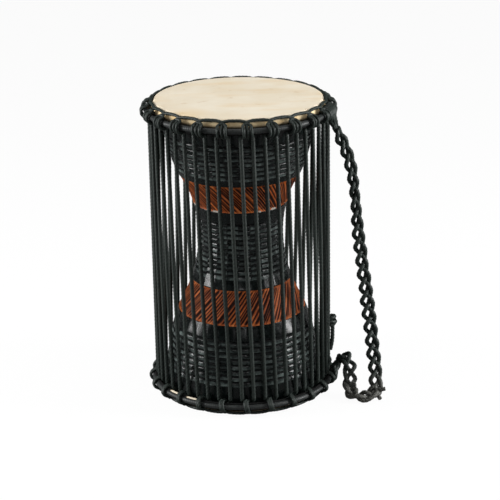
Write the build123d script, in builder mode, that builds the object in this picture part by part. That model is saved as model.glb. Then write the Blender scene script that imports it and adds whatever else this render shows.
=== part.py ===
from build123d import *

import os
from math import asin, atan2, cos, degrees, hypot, radians, sin, tan

# Hourglass talking drum: a carved shell, two skin heads on hoops, and lacing cords between the hoops.
# The frame stands on the lower head, +Z up, with the drum's axis on Z and the front towards -Y.

# Overall size
height = 308.0
head_radius = 85.4
skin = 0.9
seat = 0.1

# Skin profile: shoulder, start of the flare behind the hoop, lip folded under the hoop
shoulder = 1.75
flare_depth = 4.0
lip_past_hoop = 0.5

# Hoops: their circle stands outside the head, level with the fold of the skin
hoop_gap = 6.9
hoop_radius = 2.9
hoop_depth = 10.5
hoop_sides = 8

# Carved shell: the waist stands in from the rims, and a little above mid-height
waist_inset = 40.8
waist_rise = 14.0
rim_chamfer = 1.7
upper_waist_arc = 115.0
upper_waist_turn = 30.0
upper_bowl_arc = 120.0
upper_bowl_turn = 15.0
lower_waist_arc = 150.0
lower_waist_turn = 27.0
lower_bowl_arc = 170.0
lower_bowl_turn = 18.0
bowl_wall = 11.0
rim_wall = 8.0
waist_wall = 12.6
bore_half_length = 30.0
bore_columns = 24

# Carving, measured up and down from the waist: three bands of notched courses and two sunk slashed bands
upper_notch_from = 72.0
upper_notch_to = 109.5
upper_slash_from = 33.0
upper_slash_to = 64.5
waist_notch_above = 19.6
waist_notch_below = 38.3
lower_slash_from = 48.2
lower_slash_to = 81.0
lower_notch_from = 95.5
lower_notch_to = 140.5
upper_courses = 7
waist_courses = 11
lower_courses = 8
bowl_columns = 24
waist_columns = 20
notch_depth = 1.2
slash_depth = 0.9
floor_steps = 3

# Ropes: the cradle rope wound round each hoop, and the lacing cord between the hoops
rope_sides = 5
cradle_radius = 1.75
cradle_lean = 2.4
cord_radius = 1.85
cord_inset = 2.7
cord_gap = 0.3
cord_twist = 5.5
hitch_count = 24
top_hitch_angle = -85.0

# Lacing bights: the U turns behind each hoop that join two runs
crown_inset = 0.1
crown_rise = 0.2
crown_spread = 1.95
knee_outset = 1.0
knee_drop = 4.1
knee_spread = 3.4
foot_drop = 1.85
foot_length = 1.4

# Groups of runs that are squeezed together, four to a side, each cut in two at mid-height
runs_per_group = 3
groups_per_side = 4
sides = ("right", "back", "left", "front")
right_side_run_index = 6

# Tie-off knot at the end of the lacing cord
tie_run_index = 11
tie_height = 63.5
tie_radius = 4.8
tie_length = 9.0
tie_chamfer = 1.8
tie_tail = 28.0

# Plaited strap, along its route from the top hoop to the floor and back to the bottom hoop
strap_radius = 5.0
strap_sides = 6
strap_arc_share = 0.45
strap_route = [
    (96.4, -27.0, 282.0),
    (101.4, -27.6, 270.0),
    (107.0, -28.6, 257.0),
    (111.6, -30.2, 240.0),
    (115.0, -32.0, 215.0),
    (117.4, -33.6, 184.0),
    (121.0, -35.4, 150.0),
    (126.0, -37.2, 115.0),
    (130.0, -38.6, 80.0),
    (133.6, -40.4, 48.0),
    (136.2, -43.0, 25.0),
    (136.4, -50.0, 10.0),
    (131.8, -57.2, 5.9),
    (122.0, -59.6, 5.5),
    (112.2, -53.4, 5.8),
    (109.4, -45.0, 9.6),
    (110.4, -37.0, 17.4),
    (111.0, -29.0, 27.0),
    (108.0, -20.6, 33.4),
    (103.6, -12.4, 32.6),
    (101.2, -6.6, 25.4),
]

# Hitches and knots of the strap
strap_hitch_radius = 2.6
strap_hitch_angle = {"top": -17.0, "bottom": -4.5}
knot_sides = 8
knot_chamfer = 2.6
floor_knot_at = (136.4, -50.0, 8.6)
floor_knot_radius = 8.4
floor_knot_length = 13.0
end_knot_at = (109.8, -45.0, 9.4)
end_knot_radius = 7.6
end_knot_length = 12.0

# Values worked out from the sizes above
hitch_step = 360.0 / hitch_count
run_step = hitch_step / 2
run_offset = run_step / 2
run_count = 2 * hitch_count
hitch_angle = {"top": top_hitch_angle, "bottom": top_hitch_angle + run_step + cord_twist}
ends = ("top", "bottom")
hoop_circle = head_radius + hoop_gap
hoop_standoff = hoop_radius + seat + skin / 2
under_depth = hoop_depth + hoop_radius + skin + 3 * seat + cradle_radius
cord_circle = hoop_circle - cord_inset
crown_circle = head_radius - crown_inset
crown_depth = hoop_depth - crown_rise
knee_circle = head_radius + knee_outset
knee_depth = crown_depth + knee_drop
foot_depth = under_depth + foot_drop
cord_top_depth = foot_depth + foot_length + cord_gap


def level(end: str, depth: float) -> float:
    """Height of a point that lies a given depth in from the head at one end."""
    return height - depth if end == "top" else depth


def around(radius: float, angle: float, z: float) -> Vector:
    """Point at a radius and a polar angle about the drum's axis."""
    return Vector(radius * cos(radians(angle)), radius * sin(radians(angle)), z)


def strip(points: list, thickness: float) -> list:
    """Closed outline of a sheet with the given middle line, mitred at its bends."""
    half = thickness / 2
    normals = []
    for (r1, d1), (r2, d2) in zip(points, points[1:]):
        run = hypot(r2 - r1, d2 - d1)
        normals.append(((d2 - d1) / run, (r1 - r2) / run))
    befores = [normals[0], *normals]
    afters = [*normals, normals[-1]]
    outer, inner = [], []
    for (r, d), (a, b), (c, e) in zip(points, befores, afters):
        share = half / (1 + a * c + b * e)
        outer.append((r + (a + c) * share, d + (b + e) * share))
        inner.append((r - (a + c) * share, d - (b + e) * share))
    return outer + inner[::-1]


def rope(route: list, radius: float) -> Part:
    """Rope of a polygon section, mitred at the corners of its route."""
    with BuildPart() as strand:
        with BuildLine() as path:
            Polyline(*route)
        with BuildSketch(Plane(origin=path.line @ 0, z_dir=path.line % 0)):
            RegularPolygon(radius, rope_sides)
        sweep(transition=Transition.RIGHT)
    return strand.part


def save(piece: Part, name: str) -> None:
    """Label a finished piece and write it to its own file."""
    piece.label = name
    export_step(piece, f"parts/{name}.step")


os.makedirs("parts", exist_ok=True)

# Carved shell: an hourglass with sunk bands is turned, courses of notches fill three of them, and it is bored
waist_z = height / 2 + waist_rise
rim_radius = head_radius - skin - seat
rim_top = height - skin
waist_radius = rim_radius - waist_inset
bore_radius = waist_radius - waist_wall
core_depth = notch_depth + waist_radius / waist_columns


def shell_radius(rise: float) -> float:
    """Radius of the uncarved hourglass at a height above or below its waist."""
    waist_arc, waist_turn, bowl_arc, bowl_turn = lower_shape
    rim_rise = waist_z - skin - rim_chamfer
    if rise > 0:
        waist_arc, waist_turn, bowl_arc, bowl_turn = upper_shape
        rim_rise = rim_top - rim_chamfer - waist_z
    reach = abs(rise)
    steepest = radians(waist_turn)
    easiest = radians(waist_turn - bowl_turn)
    waist_reach = waist_arc * sin(steepest)
    if reach <= waist_reach:
        return waist_radius + waist_arc * (1 - cos(asin(reach / waist_arc)))
    bowl_radius = waist_radius + waist_arc * (1 - cos(steepest))
    bowl_reach = waist_reach + bowl_arc * (sin(steepest) - sin(easiest))
    if reach <= bowl_reach:
        lean = asin(sin(steepest) - (reach - waist_reach) / bowl_arc)
        return bowl_radius + bowl_arc * (cos(lean) - cos(steepest))
    cone_radius = bowl_radius + bowl_arc * (cos(easiest) - cos(steepest))
    return cone_radius + (rim_radius - cone_radius) * (reach - bowl_reach) / (rim_rise - bowl_reach)


def drafted_prism(columns: int, low: tuple, high: tuple) -> Part:
    """Prism of a regular polygon about the axis, from one radius and height to another."""
    rise = high[1] - low[1]
    draft = atan2((low[0] - high[0]) * cos(radians(180 / columns)), rise)
    with BuildPart() as prism:
        with BuildSketch(Plane.XY.offset(low[1])):
            RegularPolygon(low[0], columns)
        extrude(amount=rise, taper=degrees(draft))
    return prism.part


upper_shape = (upper_waist_arc, upper_waist_turn, upper_bowl_arc, upper_bowl_turn)
lower_shape = (lower_waist_arc, lower_waist_turn, lower_bowl_arc, lower_bowl_turn)
notch_bands = [
    (-lower_notch_to, -lower_notch_from, lower_courses, bowl_columns),
    (-waist_notch_below, waist_notch_above, waist_courses, waist_columns),
    (upper_notch_from, upper_notch_to, upper_courses, bowl_columns),
]
sunk_bands = [(low, high, core_depth) for low, high, courses, columns in notch_bands]
sunk_bands.append((-lower_slash_to, -lower_slash_from, slash_depth))
sunk_bands.append((upper_slash_from, upper_slash_to, slash_depth))
outside = []
for low, high, depth in sorted(sunk_bands):
    outside.append((shell_radius(low), waist_z + low))
    for step in range(floor_steps + 1):
        rise = low + (high - low) * step / floor_steps
        outside.append((shell_radius(rise) - depth, waist_z + rise))
    outside.append((shell_radius(high), waist_z + high))
bore = [(rim_radius - rim_wall, skin)]
for rise in (-lower_notch_to, -lower_slash_to):
    bore.append((shell_radius(rise) - bowl_wall, waist_z + rise))
bore.append((bore_radius, waist_z - bore_half_length))
bore.append((bore_radius, waist_z + bore_half_length))
for rise in (upper_slash_to, upper_notch_to):
    bore.append((shell_radius(rise) - bowl_wall, waist_z + rise))
bore.append((rim_radius - rim_wall, rim_top))
with BuildPart() as shell:
    with BuildSketch(Plane.XZ):
        with BuildLine():
            Polyline(
                (0, skin),
                (rim_radius - rim_chamfer, skin),
                (rim_radius, skin + rim_chamfer),
                *outside,
                (rim_radius, rim_top - rim_chamfer),
                (rim_radius - rim_chamfer, rim_top),
                (0, rim_top),
                close=True,
            )
        make_face()
    revolve(axis=Axis.Z)
    for low, high, courses, columns in notch_bands:
        course = (high - low) / courses
        for number in range(courses):
            foot = low + number * course
            head = foot + course
            foot_edge = (shell_radius(foot), waist_z + foot)
            add(drafted_prism(columns, foot_edge, (shell_radius(head) - notch_depth, waist_z + head)))
    for low, high in zip(bore, bore[1:]):
        add(drafted_prism(bore_columns, low, high), mode=Mode.SUBTRACT)
save(shell.part, "shell")

# Skin: flat head, shoulder over the rim, flare behind the hoop and a lip folded under it
skirt_radius = head_radius - skin / 2
hoop_reach = (hoop_circle - skirt_radius, hoop_depth - flare_depth)
flare_angle = atan2(hoop_reach[1], hoop_reach[0]) + asin(hoop_standoff / hypot(*hoop_reach))
lip_depth = hoop_depth + hoop_standoff
skin_line = [
    (0, skin / 2),
    (skirt_radius - shoulder, skin / 2),
    (skirt_radius, skin / 2 + shoulder),
    (skirt_radius, flare_depth),
    (skirt_radius + (lip_depth - flare_depth) / tan(flare_angle), lip_depth),
    (hoop_circle + lip_past_hoop, lip_depth),
]

# One turn of cradle rope: from under the hoop, up over its outside, then along to the next hitch
turn_reach = (hoop_radius + seat + cradle_radius) / cos(radians(25))
turn_angles = (-25, 25, 75)
span_circle = head_radius + 1.5 * seat + cradle_radius
span_depth = cradle_radius + 2 * seat
hitch_circle = span_circle + 0.4 * cradle_radius
hitch_depth = span_depth + 0.6 * cradle_radius

for end in ends:
    with BuildPart() as head:
        with BuildSketch(Plane.XZ):
            with BuildLine():
                Polyline(*[(r, level(end, d)) for r, d in strip(skin_line, skin)], close=True)
            make_face()
        revolve(axis=Axis.Z)
    save(head.part, f"{end}_head")

    with BuildPart() as hoop:
        with BuildSketch(Plane.XZ):
            with Locations((hoop_circle, level(end, hoop_depth))):
                RegularPolygon(hoop_radius, hoop_sides)
        revolve(axis=Axis.Z)
    save(hoop.part, f"{end}_hoop")

    lean = cradle_lean if end == "top" else -cradle_lean
    turn = [
        (crown_circle, 0.0, crown_depth + cord_radius + cradle_radius + 3 * seat),
        (hoop_circle - 1.3 * hoop_radius, 0.3 * lean, under_depth),
        (hoop_circle + 0.65 * hoop_radius, lean, under_depth),
    ]
    for share, angle in zip((0.7, 0.3, 0.0), turn_angles):
        radius = hoop_circle + turn_reach * cos(radians(angle))
        turn.append((radius, share * lean, hoop_depth - turn_reach * sin(radians(angle))))
    turn_route = [Vector(r, s, level(end, d)) for r, s, d in turn]
    for radius, angle, depth in (
        (hitch_circle, 0, hitch_depth),
        (span_circle, hitch_step / 2, span_depth),
        (hitch_circle, hitch_step, hitch_depth),
    ):
        turn_route.append(around(radius, angle, level(end, depth)))
    cradle_turn = rope(turn_route, cradle_radius)
    with BuildPart() as cradle:
        with PolarLocations(0, hitch_count, start_angle=hitch_angle[end]):
            add(cradle_turn)
    save(cradle.part, f"{end}_cradle_rope")

    half_bight = [
        (cord_circle, run_offset, cord_top_depth - cord_gap),
        (cord_circle, run_offset, foot_depth),
        (knee_circle, knee_spread, knee_depth),
        (crown_circle, crown_spread, crown_depth),
    ]
    bight_route = [around(r, a, level(end, d)) for r, a, d in half_bight]
    bight_route += [around(r, -a, level(end, d)) for r, a, d in half_bight[::-1]]
    bight = rope(bight_route, cord_radius)
    with BuildPart() as bights:
        with PolarLocations(0, hitch_count, start_angle=hitch_angle[end]):
            add(bight)
    save(bights.part, f"{end}_lacing_bights")


def run_point(run: int, z: float) -> Vector:
    """Point on the middle line of a lacing run at a height between its two ends."""
    angle = top_hitch_angle - run_offset + run * run_step
    top = around(cord_circle, angle, height - cord_top_depth)
    bottom = around(cord_circle, angle + cord_twist, cord_top_depth)
    return top + (bottom - top) * ((top.Z - z) / (top.Z - bottom.Z))


# Lacing runs, in groups, each group an upper and a lower half that meet at mid-height
halves = {
    "upper": (height / 2 + cord_gap / 2, height - cord_top_depth),
    "lower": (cord_top_depth + cord_gap, height / 2 - cord_gap / 2),
}
for group in range(run_count // runs_per_group):
    side = sides[group // groups_per_side % len(sides)]
    first_run = right_side_run_index + group * runs_per_group
    for half, (low, high) in halves.items():
        with BuildPart() as cords:
            for run in range(first_run, first_run + runs_per_group):
                start = run_point(run, low)
                along = run_point(run, high) - start
                with BuildSketch(Plane(origin=start, z_dir=along)):
                    RegularPolygon(cord_radius, rope_sides)
                extrude(amount=along.length)
        save(cords.part, f"{side}_cords_{group % groups_per_side + 1}_{half}")

# Tie-off knot round one run of the right side, with its tail hanging beside the run
tie_point = run_point(tie_run_index, tie_height)
tie_along = (run_point(tie_run_index, height) - tie_point).normalized()
tie_outward = Vector(tie_point.X, tie_point.Y, 0).normalized()
tail_point = tie_point + tie_outward * (tie_radius - cord_radius / 2)
with BuildPart() as tie_knot:
    with BuildSketch(Plane(origin=tie_point, z_dir=tie_along)):
        RegularPolygon(tie_radius, knot_sides)
    extrude(amount=tie_length)
    knot_faces = tie_knot.faces().sort_by(Axis.Z)
    chamfer(knot_faces[0].edges() + knot_faces[-1].edges(), length=tie_chamfer)
    with BuildSketch(Plane(origin=tail_point - tie_along * tie_tail, z_dir=tie_along)):
        RegularPolygon(cord_radius, rope_sides)
    extrude(amount=tie_tail + tie_length / 2)
    with BuildSketch(Plane(origin=tie_point - tie_along * tie_length, z_dir=tie_along)):
        RegularPolygon(cord_radius + seat, rope_sides)
    extrude(amount=3 * tie_length, mode=Mode.SUBTRACT)
save(tie_knot.part, "tie_off_knot")

# Strap: a tube along its route, with each bend as large as its two runs allow
points = [Vector(*p) for p in strap_route]
radii = []
for before, corner, after in zip(points, points[1:], points[2:]):
    turn_angle = radians((corner - before).get_angle(after - corner))
    shorter = min((corner - before).length, (after - corner).length)
    radii.append(strap_arc_share * shorter / tan(turn_angle / 2))
print("strap bend radii", [round(r, 1) for r in radii])
with BuildPart() as strap:
    with BuildLine() as strap_path:
        FilletPolyline(*points, radius=radii)
    with BuildSketch(Plane(origin=strap_path.line @ 0, z_dir=strap_path.line % 0)):
        RegularPolygon(strap_radius, strap_sides)
    sweep()
section_area = strap_sides / 2 * strap_radius**2 * sin(radians(360 / strap_sides))
strap_length = sum(edge.length for edge in strap_path.edges())
print("strap length", round(strap_length, 1))
print("strap volume", round(strap.part.volume), "section by length", round(section_area * strap_length))
save(strap.part, "strap")

# Hitches of the strap: a rope over the outside of each hoop, led into the end of the plait
plait_end = {"top": points[0], "bottom": points[-1]}
hitch_reach = (hoop_radius + seat + strap_hitch_radius) / cos(radians(25))
for end in ends:
    route = []
    for wrap in (95, 45, -5):
        radius = hoop_circle + hitch_reach * cos(radians(wrap))
        depth = hoop_depth - hitch_reach * sin(radians(wrap))
        route.append(around(radius, strap_hitch_angle[end], level(end, depth)))
    route.append(plait_end[end])
    save(rope(route, strap_hitch_radius), f"strap_{end}_hitch")

# Knots on the strap where it lies on the floor
for name, at, radius, length in (
    ("strap_floor_knot", floor_knot_at, floor_knot_radius, floor_knot_length),
    ("strap_end_knot", end_knot_at, end_knot_radius, end_knot_length),
):
    with BuildPart() as knot:
        with BuildSketch(Plane(origin=Vector(*at) - Vector(length / 2, 0, 0), z_dir=(1, 0, 0))):
            RegularPolygon(radius, knot_sides)
        extrude(amount=length)
        chamfer(knot.faces().filter_by(Axis.X).edges(), length=knot_chamfer)
    save(knot.part, name)
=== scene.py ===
"""Looks of an hourglass talking drum.

A carved shell, two skin heads, hoops, lacing cords and a plaited strap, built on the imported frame.
"""

import logging
import math
from dataclasses import dataclass
from enum import Enum

import bpy
import numpy as np
from mathutils import Euler, Matrix, Vector


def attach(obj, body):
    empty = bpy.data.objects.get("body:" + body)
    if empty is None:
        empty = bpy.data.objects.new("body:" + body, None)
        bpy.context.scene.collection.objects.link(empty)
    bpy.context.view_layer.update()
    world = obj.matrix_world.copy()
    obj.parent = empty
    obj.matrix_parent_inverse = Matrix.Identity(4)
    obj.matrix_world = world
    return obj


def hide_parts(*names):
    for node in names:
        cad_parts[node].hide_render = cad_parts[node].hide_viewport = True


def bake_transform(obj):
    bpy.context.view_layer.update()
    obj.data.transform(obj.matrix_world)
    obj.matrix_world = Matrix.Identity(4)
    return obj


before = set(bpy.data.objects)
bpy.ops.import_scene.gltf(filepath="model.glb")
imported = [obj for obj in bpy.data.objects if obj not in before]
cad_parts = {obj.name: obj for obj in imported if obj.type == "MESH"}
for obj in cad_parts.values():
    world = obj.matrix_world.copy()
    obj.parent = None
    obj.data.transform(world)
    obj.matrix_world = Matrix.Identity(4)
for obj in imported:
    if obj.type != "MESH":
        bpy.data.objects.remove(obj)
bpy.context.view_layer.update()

LOG = logging.getLogger("talking_drum")
MM = 0.001
BODY = "drum"
SEED = 11
TURN = 2 * math.pi
WHITE = (1.0, 1.0, 1.0)

Color = tuple[float, float, float]
Point = tuple[float, float, float]
Span = tuple[float, float, float, float]  # the low and high of a value, and what each becomes
Arcs = tuple[float, float, float, float]  # radius and turn of the waist's arc and the bowl's
Array = np.ndarray
Draws = np.random.Generator
Mesh = bpy.types.Mesh
Node = bpy.types.Node
Piece = bpy.types.Object
Socket = bpy.types.NodeSocket
Tree = bpy.types.NodeTree


class End(Enum):
    """The two ends of the drum."""

    TOP = "top"
    BOTTOM = "bottom"


class Slot(Enum):
    """Material slots of the record."""

    WOOD = "wood"
    SKIN = "skin"
    ROPE = "rope"
    HOOP = "hoop"


@dataclass(frozen=True)
class Pair:
    """A size that differs between the two ends."""

    top: float
    bottom: float

    def at(self, end: End) -> float:
        """The size at one end."""
        return self.top if end is End.TOP else self.bottom


@dataclass(frozen=True)
class DrumSizes:
    """Sizes that several pieces share, in millimetres and degrees."""

    height: float = 308.0
    head_radius: float = 85.4
    skin: float = 0.9
    hoop_circle: float = 92.3
    hoop_radius: float = 2.9
    hoop_depth: float = 10.5
    cord_circle: float = 89.6
    cord_radius: float = 2.28
    cord_end_depth: float = 19.8
    cord_twist: float = 5.5
    hitch_count: int = 24
    top_hitch_angle: float = -85.0

    @property
    def hitch_step(self) -> float:
        """Angle from one hitch to the next."""
        return 360.0 / self.hitch_count

    @property
    def run_step(self) -> float:
        """Angle from one lacing run to the next."""
        return self.hitch_step / 2

    def level(self, end: End, depth: float) -> float:
        """Height of a point at a depth in from one head."""
        return self.height - depth if end is End.TOP else depth

    def hitch_angle(self, end: End) -> float:
        """Polar angle of the first hitch at one end."""
        offset = 0.0 if end is End.TOP else self.run_step + self.cord_twist
        return self.top_hitch_angle + offset

    def round_hoop(self, reach: float, angle: float) -> tuple[float, float]:
        """Radius and depth of a point at a reach and an angle about the hoop's wire."""
        turn = math.radians(angle)
        return self.hoop_circle + reach * math.cos(turn), self.hoop_depth - reach * math.sin(turn)


SIZES = DrumSizes()


def polar(radius: float, angle: float, z: float) -> Vector:
    """Point at a radius and a polar angle about the drum's axis, in the units of the radius."""
    turn = math.radians(angle)
    return Vector((radius * math.cos(turn), radius * math.sin(turn), z))


class NodeTree:
    """A node tree whose nodes are placed and joined in one call each."""

    def __init__(self, tree: Tree) -> None:
        """Wrap a tree and empty it."""
        self.tree = tree
        tree.nodes.clear()

    def add(self, kind: str, inputs: dict | None = None, **settings: object) -> Node:
        """Place a node.

        Args:
            kind: Blender's name of the node type.
            inputs: socket names or indices, each with a value or with the socket that feeds it.
            settings: properties of the node.

        Returns:
            The new node.
        """
        node = self.tree.nodes.new(kind)
        for name, value in settings.items():
            setattr(node, name, value)
        for key, value in (inputs or {}).items():
            self.feed(node.inputs[key], value)
        return node

    def feed(self, socket: Socket, value: object) -> None:
        """Set a socket, or link another socket to it.

        Args:
            socket: the input to feed.
            value: a plain value, a colour without alpha, or the socket that feeds it.
        """
        if isinstance(value, Socket):
            self.tree.links.new(value, socket)
        else:
            socket.default_value = (*value, 1.0) if socket.type == "RGBA" else value

    def geometry(self, kind: str, inputs: dict | None = None, **settings: object) -> Socket:
        """First output of a new node of Geometry Nodes."""
        return self.add(f"GeometryNode{kind}", inputs, **settings).outputs[0]

    def math(self, operation: str, a: object, b: object = 0.0) -> Socket:
        """Result of a math node with two inputs."""
        return self.add("ShaderNodeMath", {0: a, 1: b}, operation=operation).outputs[0]

    def vector(self, operation: str, a: object, b: object = (0.0, 0.0, 0.0)) -> Socket:
        """Vector result of a vector math node with two inputs."""
        return self.add("ShaderNodeVectorMath", {0: a, 1: b}, operation=operation).outputs[0]

    def scaled(self, vector: object, factor: object) -> Socket:
        """A vector times a number."""
        inputs = {0: vector, "Scale": factor}
        return self.add("ShaderNodeVectorMath", inputs, operation="SCALE").outputs[0]

    def distance(self, a: object, b: object) -> Socket:
        """Distance from a to b."""
        node = self.add("ShaderNodeVectorMath", {0: a, 1: b}, operation="DISTANCE")
        return node.outputs["Value"]

    def height_of(self, place: Socket) -> Socket:
        """Third coordinate of a place."""
        return self.add("ShaderNodeSeparateXYZ", {0: place}).outputs[2]

    def blend(self, factor: object, a: object, b: object) -> Socket:
        """Colour between a and b."""
        return self.add("ShaderNodeMix", {0: factor, 6: a, 7: b}, data_type="RGBA").outputs[2]

    def span(self, value: object, low: float, high: float, to_low: float, to_high: float) -> Socket:
        """Value mapped from one range to another, and held to it."""
        inputs = {0: value, 1: low, 2: high, 3: to_low, 4: to_high}
        return self.add("ShaderNodeMapRange", inputs).outputs[0]

    def noise(self, place: object, scale: object, detail: float, rough: float = 0.5) -> Socket:
        """Soft noise from 0 to 1."""
        inputs = {"Vector": place, "Scale": scale, "Detail": detail, "Roughness": rough}
        return self.add("ShaderNodeTexNoise", inputs).outputs["Fac"]

    def place(self) -> Socket:
        """Object coordinates."""
        return self.add("ShaderNodeTexCoord").outputs["Object"]

    def attribute(self, name: str) -> Socket:
        """Value of a named attribute of the mesh."""
        return self.add("ShaderNodeAttribute", attribute_name=name).outputs["Fac"]


class Effects:
    """Shader node groups that several finishes share, each built once."""

    _made: dict[str, Tree] = {}

    @classmethod
    def _open(cls, name: str, inputs: dict[str, float], outputs: tuple[str, ...]) -> NodeTree:
        """Start a group with its sockets.

        Args:
            name: the group's name.
            inputs: names of the inputs, each with its default.
            outputs: names of the outputs.

        Returns:
            The group's tree, without nodes.
        """
        group = bpy.data.node_groups.new(name, "ShaderNodeTree")
        for key, value in inputs.items():
            socket = group.interface.new_socket(key, in_out="INPUT", socket_type="NodeSocketFloat")
            socket.default_value = value
        for key in outputs:
            group.interface.new_socket(key, in_out="OUTPUT", socket_type="NodeSocketFloat")
        cls._made[name] = group
        return NodeTree(group)

    @classmethod
    def mottle(cls) -> Tree:
        """Two sizes of soft blotches on Object coordinates.

        Returns:
            A group with the inputs Scale and Detail scale and the outputs Broad and Fine.
        """
        if "mottle" not in cls._made:
            nodes = cls._open("mottle", {"Scale": 20.0, "Detail scale": 300.0}, ("Broad", "Fine"))
            entry = nodes.add("NodeGroupInput").outputs
            place = nodes.place()
            ends = nodes.add("NodeGroupOutput").inputs
            for scale, name, detail in (("Scale", "Broad", 3.0), ("Detail scale", "Fine", 4.0)):
                noise = nodes.noise(place, entry[scale], detail, 0.6)
                nodes.feed(ends[name], nodes.span(noise, 0.3, 0.7, 0.0, 1.0))
        return cls._made["mottle"]

    @classmethod
    def grain(cls) -> Tree:
        """Long streaks along Z, as in wood grain or brushed paint, on Object coordinates.

        Returns:
            A group with the inputs Scale and Stretch and the output Height.
        """
        if "grain" not in cls._made:
            nodes = cls._open("grain", {"Scale": 250.0, "Stretch": 0.12}, ("Height",))
            entry = nodes.add("NodeGroupInput").outputs
            stretch = nodes.add("ShaderNodeCombineXYZ", {0: 1.0, 1: 1.0, 2: entry["Stretch"]})
            drawn = nodes.vector("MULTIPLY", nodes.place(), stretch.outputs[0])
            ends = nodes.add("NodeGroupOutput").inputs
            nodes.feed(ends["Height"], nodes.noise(drawn, entry["Scale"], 4.0))
        return cls._made["grain"]


class Finish:
    """A material with a Principled shader, and shared ways to feed it.

    Each finish sets the scales of its broad and fine blotches, its range of roughness, its
    specular level, and the strength and depth in metres of its bump.
    """

    name = "finish"
    blotches: tuple[float, float] = (20.0, 300.0)
    roughness: tuple[float, float] = (0.5, 0.5)
    specular: float = 0.5
    relief: tuple[float, float] = (0.1, 0.0003)

    def __init__(self) -> None:
        """Start without a material; it is made when it is first asked for."""
        self._material: bpy.types.Material | None = None

    def material(self) -> bpy.types.Material:
        """Make the material, the first time that it is asked for.

        Returns:
            The finish's material.
        """
        if self._material is None:
            self._material = bpy.data.materials.new(self.name)
            self._material.use_nodes = True
            nodes = NodeTree(self._material.node_tree)
            color, rough, height = self.dress(nodes)
            strength, depth = self.relief
            inputs = {"Height": height, "Strength": strength, "Distance": depth}
            bump = nodes.add("ShaderNodeBump", inputs).outputs[0]
            inputs = {"Base Color": color, "Roughness": rough, "Normal": bump}
            inputs["Specular IOR Level"] = self.specular
            shader = nodes.add("ShaderNodeBsdfPrincipled", inputs)
            nodes.add("ShaderNodeOutputMaterial", {"Surface": shader.outputs[0]})
        return self._material

    def dress(self, nodes: NodeTree) -> tuple[Socket, Socket, Socket]:
        """Make the surface's colour, roughness and height with the finish's own nodes."""
        raise NotImplementedError

    def mottle(self, nodes: NodeTree) -> tuple[Socket, Socket]:
        """Place the mottle group at the finish's own scales.

        Args:
            nodes: the material's tree.

        Returns:
            The broad and the fine blotches, from 0 to 1.
        """
        inputs = dict(zip(("Scale", "Detail scale"), self.blotches))
        group = nodes.add("ShaderNodeGroup", inputs, node_tree=Effects.mottle())
        return group.outputs["Broad"], group.outputs["Fine"]

    @staticmethod
    def grain(nodes: NodeTree, scale: float, stretch: float) -> Socket:
        """Height of the grain group's streaks."""
        inputs = {"Scale": scale, "Stretch": stretch}
        return nodes.add("ShaderNodeGroup", inputs, node_tree=Effects.grain()).outputs["Height"]

    def roughen(self, nodes: NodeTree, blotch: Socket) -> Socket:
        """Roughness over the finish's range, from blotch to blotch."""
        return nodes.span(blotch, 0.0, 1.0, *self.roughness)


class StainedWood(Finish):
    """Black stained wood with red-brown slashed bands, pale chips, and painted highlights on the
    notches' lips and the slashes' crests.
    """

    name = "stained_wood"
    black: Color = (0.0014, 0.0022, 0.0022)
    worn: Color = (0.0036, 0.0068, 0.0064)
    # Colour of the painted highlight on the notches' lips.
    painted_highlight: Color = (0.172, 0.214, 0.203)
    red: Color = (0.25, 0.042, 0.004)
    red_light: Color = (0.44, 0.098, 0.009)
    red_dark: Color = (0.012, 0.002, 0.0006)
    # Colour of the painted highlight on the slashes' crests.
    crest_highlight: Color = (0.62, 0.24, 0.08)
    chip: Color = (0.36, 0.335, 0.295)
    blotches = (35.0, 190.0)
    roughness = (0.2, 0.32)
    red_roughness: float = 0.38
    specular = 0.26
    relief = (0.06, 0.0004)
    streaks: tuple[float, float] = (900.0, 0.15)
    flat_wear: Span = (0.0, 0.5, 1.0, 0.0)
    # Painted highlight along the notches' lips, in flecks.
    lip_highlight_width: Span = (0.3, 0.85, 0.0, 1.0)
    lip_highlight_flecks: Span = (0.15, 0.9, 0.2, 1.0)
    # Painted highlight on the slashes' crests, in flecks.
    crest_highlight_width: Span = (0.0, 0.16, 1.0, 0.0)
    crest_highlight_flecks: Span = (0.35, 0.75, 0.0, 0.8)
    slash_width: Span = (0.12, 0.48, 0.0, 1.0)
    chip_edge: Span = (0.35, 0.65, 0.0, 1.0)
    groove_roughness: Span = (0.25, 0.9, 0.0, 0.7)

    def dress(self, nodes: NodeTree) -> tuple[Socket, Socket, Socket]:
        """Colour by the carving's own attributes, with grain, wear and painted highlights.

        Args:
            nodes: the material's tree.

        Returns:
            Colour, roughness and height of the surface.
        """
        groove, red = nodes.attribute("groove"), nodes.attribute("red")
        broad, fine = self.mottle(nodes)
        wear = nodes.math("MULTIPLY", nodes.span(groove, *self.flat_wear), fine)
        stain = nodes.blend(wear, self.black, self.worn)
        # Painted highlight on the notches' lips, in flecks.
        lip = nodes.span(nodes.attribute("lip"), *self.lip_highlight_width)
        lighter = nodes.math("MULTIPLY", lip, nodes.span(fine, *self.lip_highlight_flecks))
        stain = nodes.blend(lighter, stain, self.painted_highlight)
        bright = nodes.blend(broad, self.red, self.red_light)
        # Painted highlight on the slashes' crests, in flecks.
        crest_highlight = nodes.span(groove, *self.crest_highlight_width)
        crest_highlight = nodes.math("MULTIPLY", crest_highlight, nodes.span(fine, *self.crest_highlight_flecks))
        bright = nodes.blend(crest_highlight, bright, self.crest_highlight)
        slashed = nodes.blend(nodes.span(groove, *self.slash_width), bright, self.red_dark)
        chipped = nodes.span(nodes.attribute("chip"), *self.chip_edge)
        color = nodes.blend(chipped, nodes.blend(red, stain, slashed), self.chip)
        dull = nodes.math("MULTIPLY", nodes.math("MAXIMUM", red, chipped), self.red_roughness)
        rough = nodes.math("ADD", self.roughen(nodes, fine), dull)
        rough = nodes.math("ADD", rough, nodes.span(groove, *self.groove_roughness))
        return color, rough, self.grain(nodes, *self.streaks)


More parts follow.
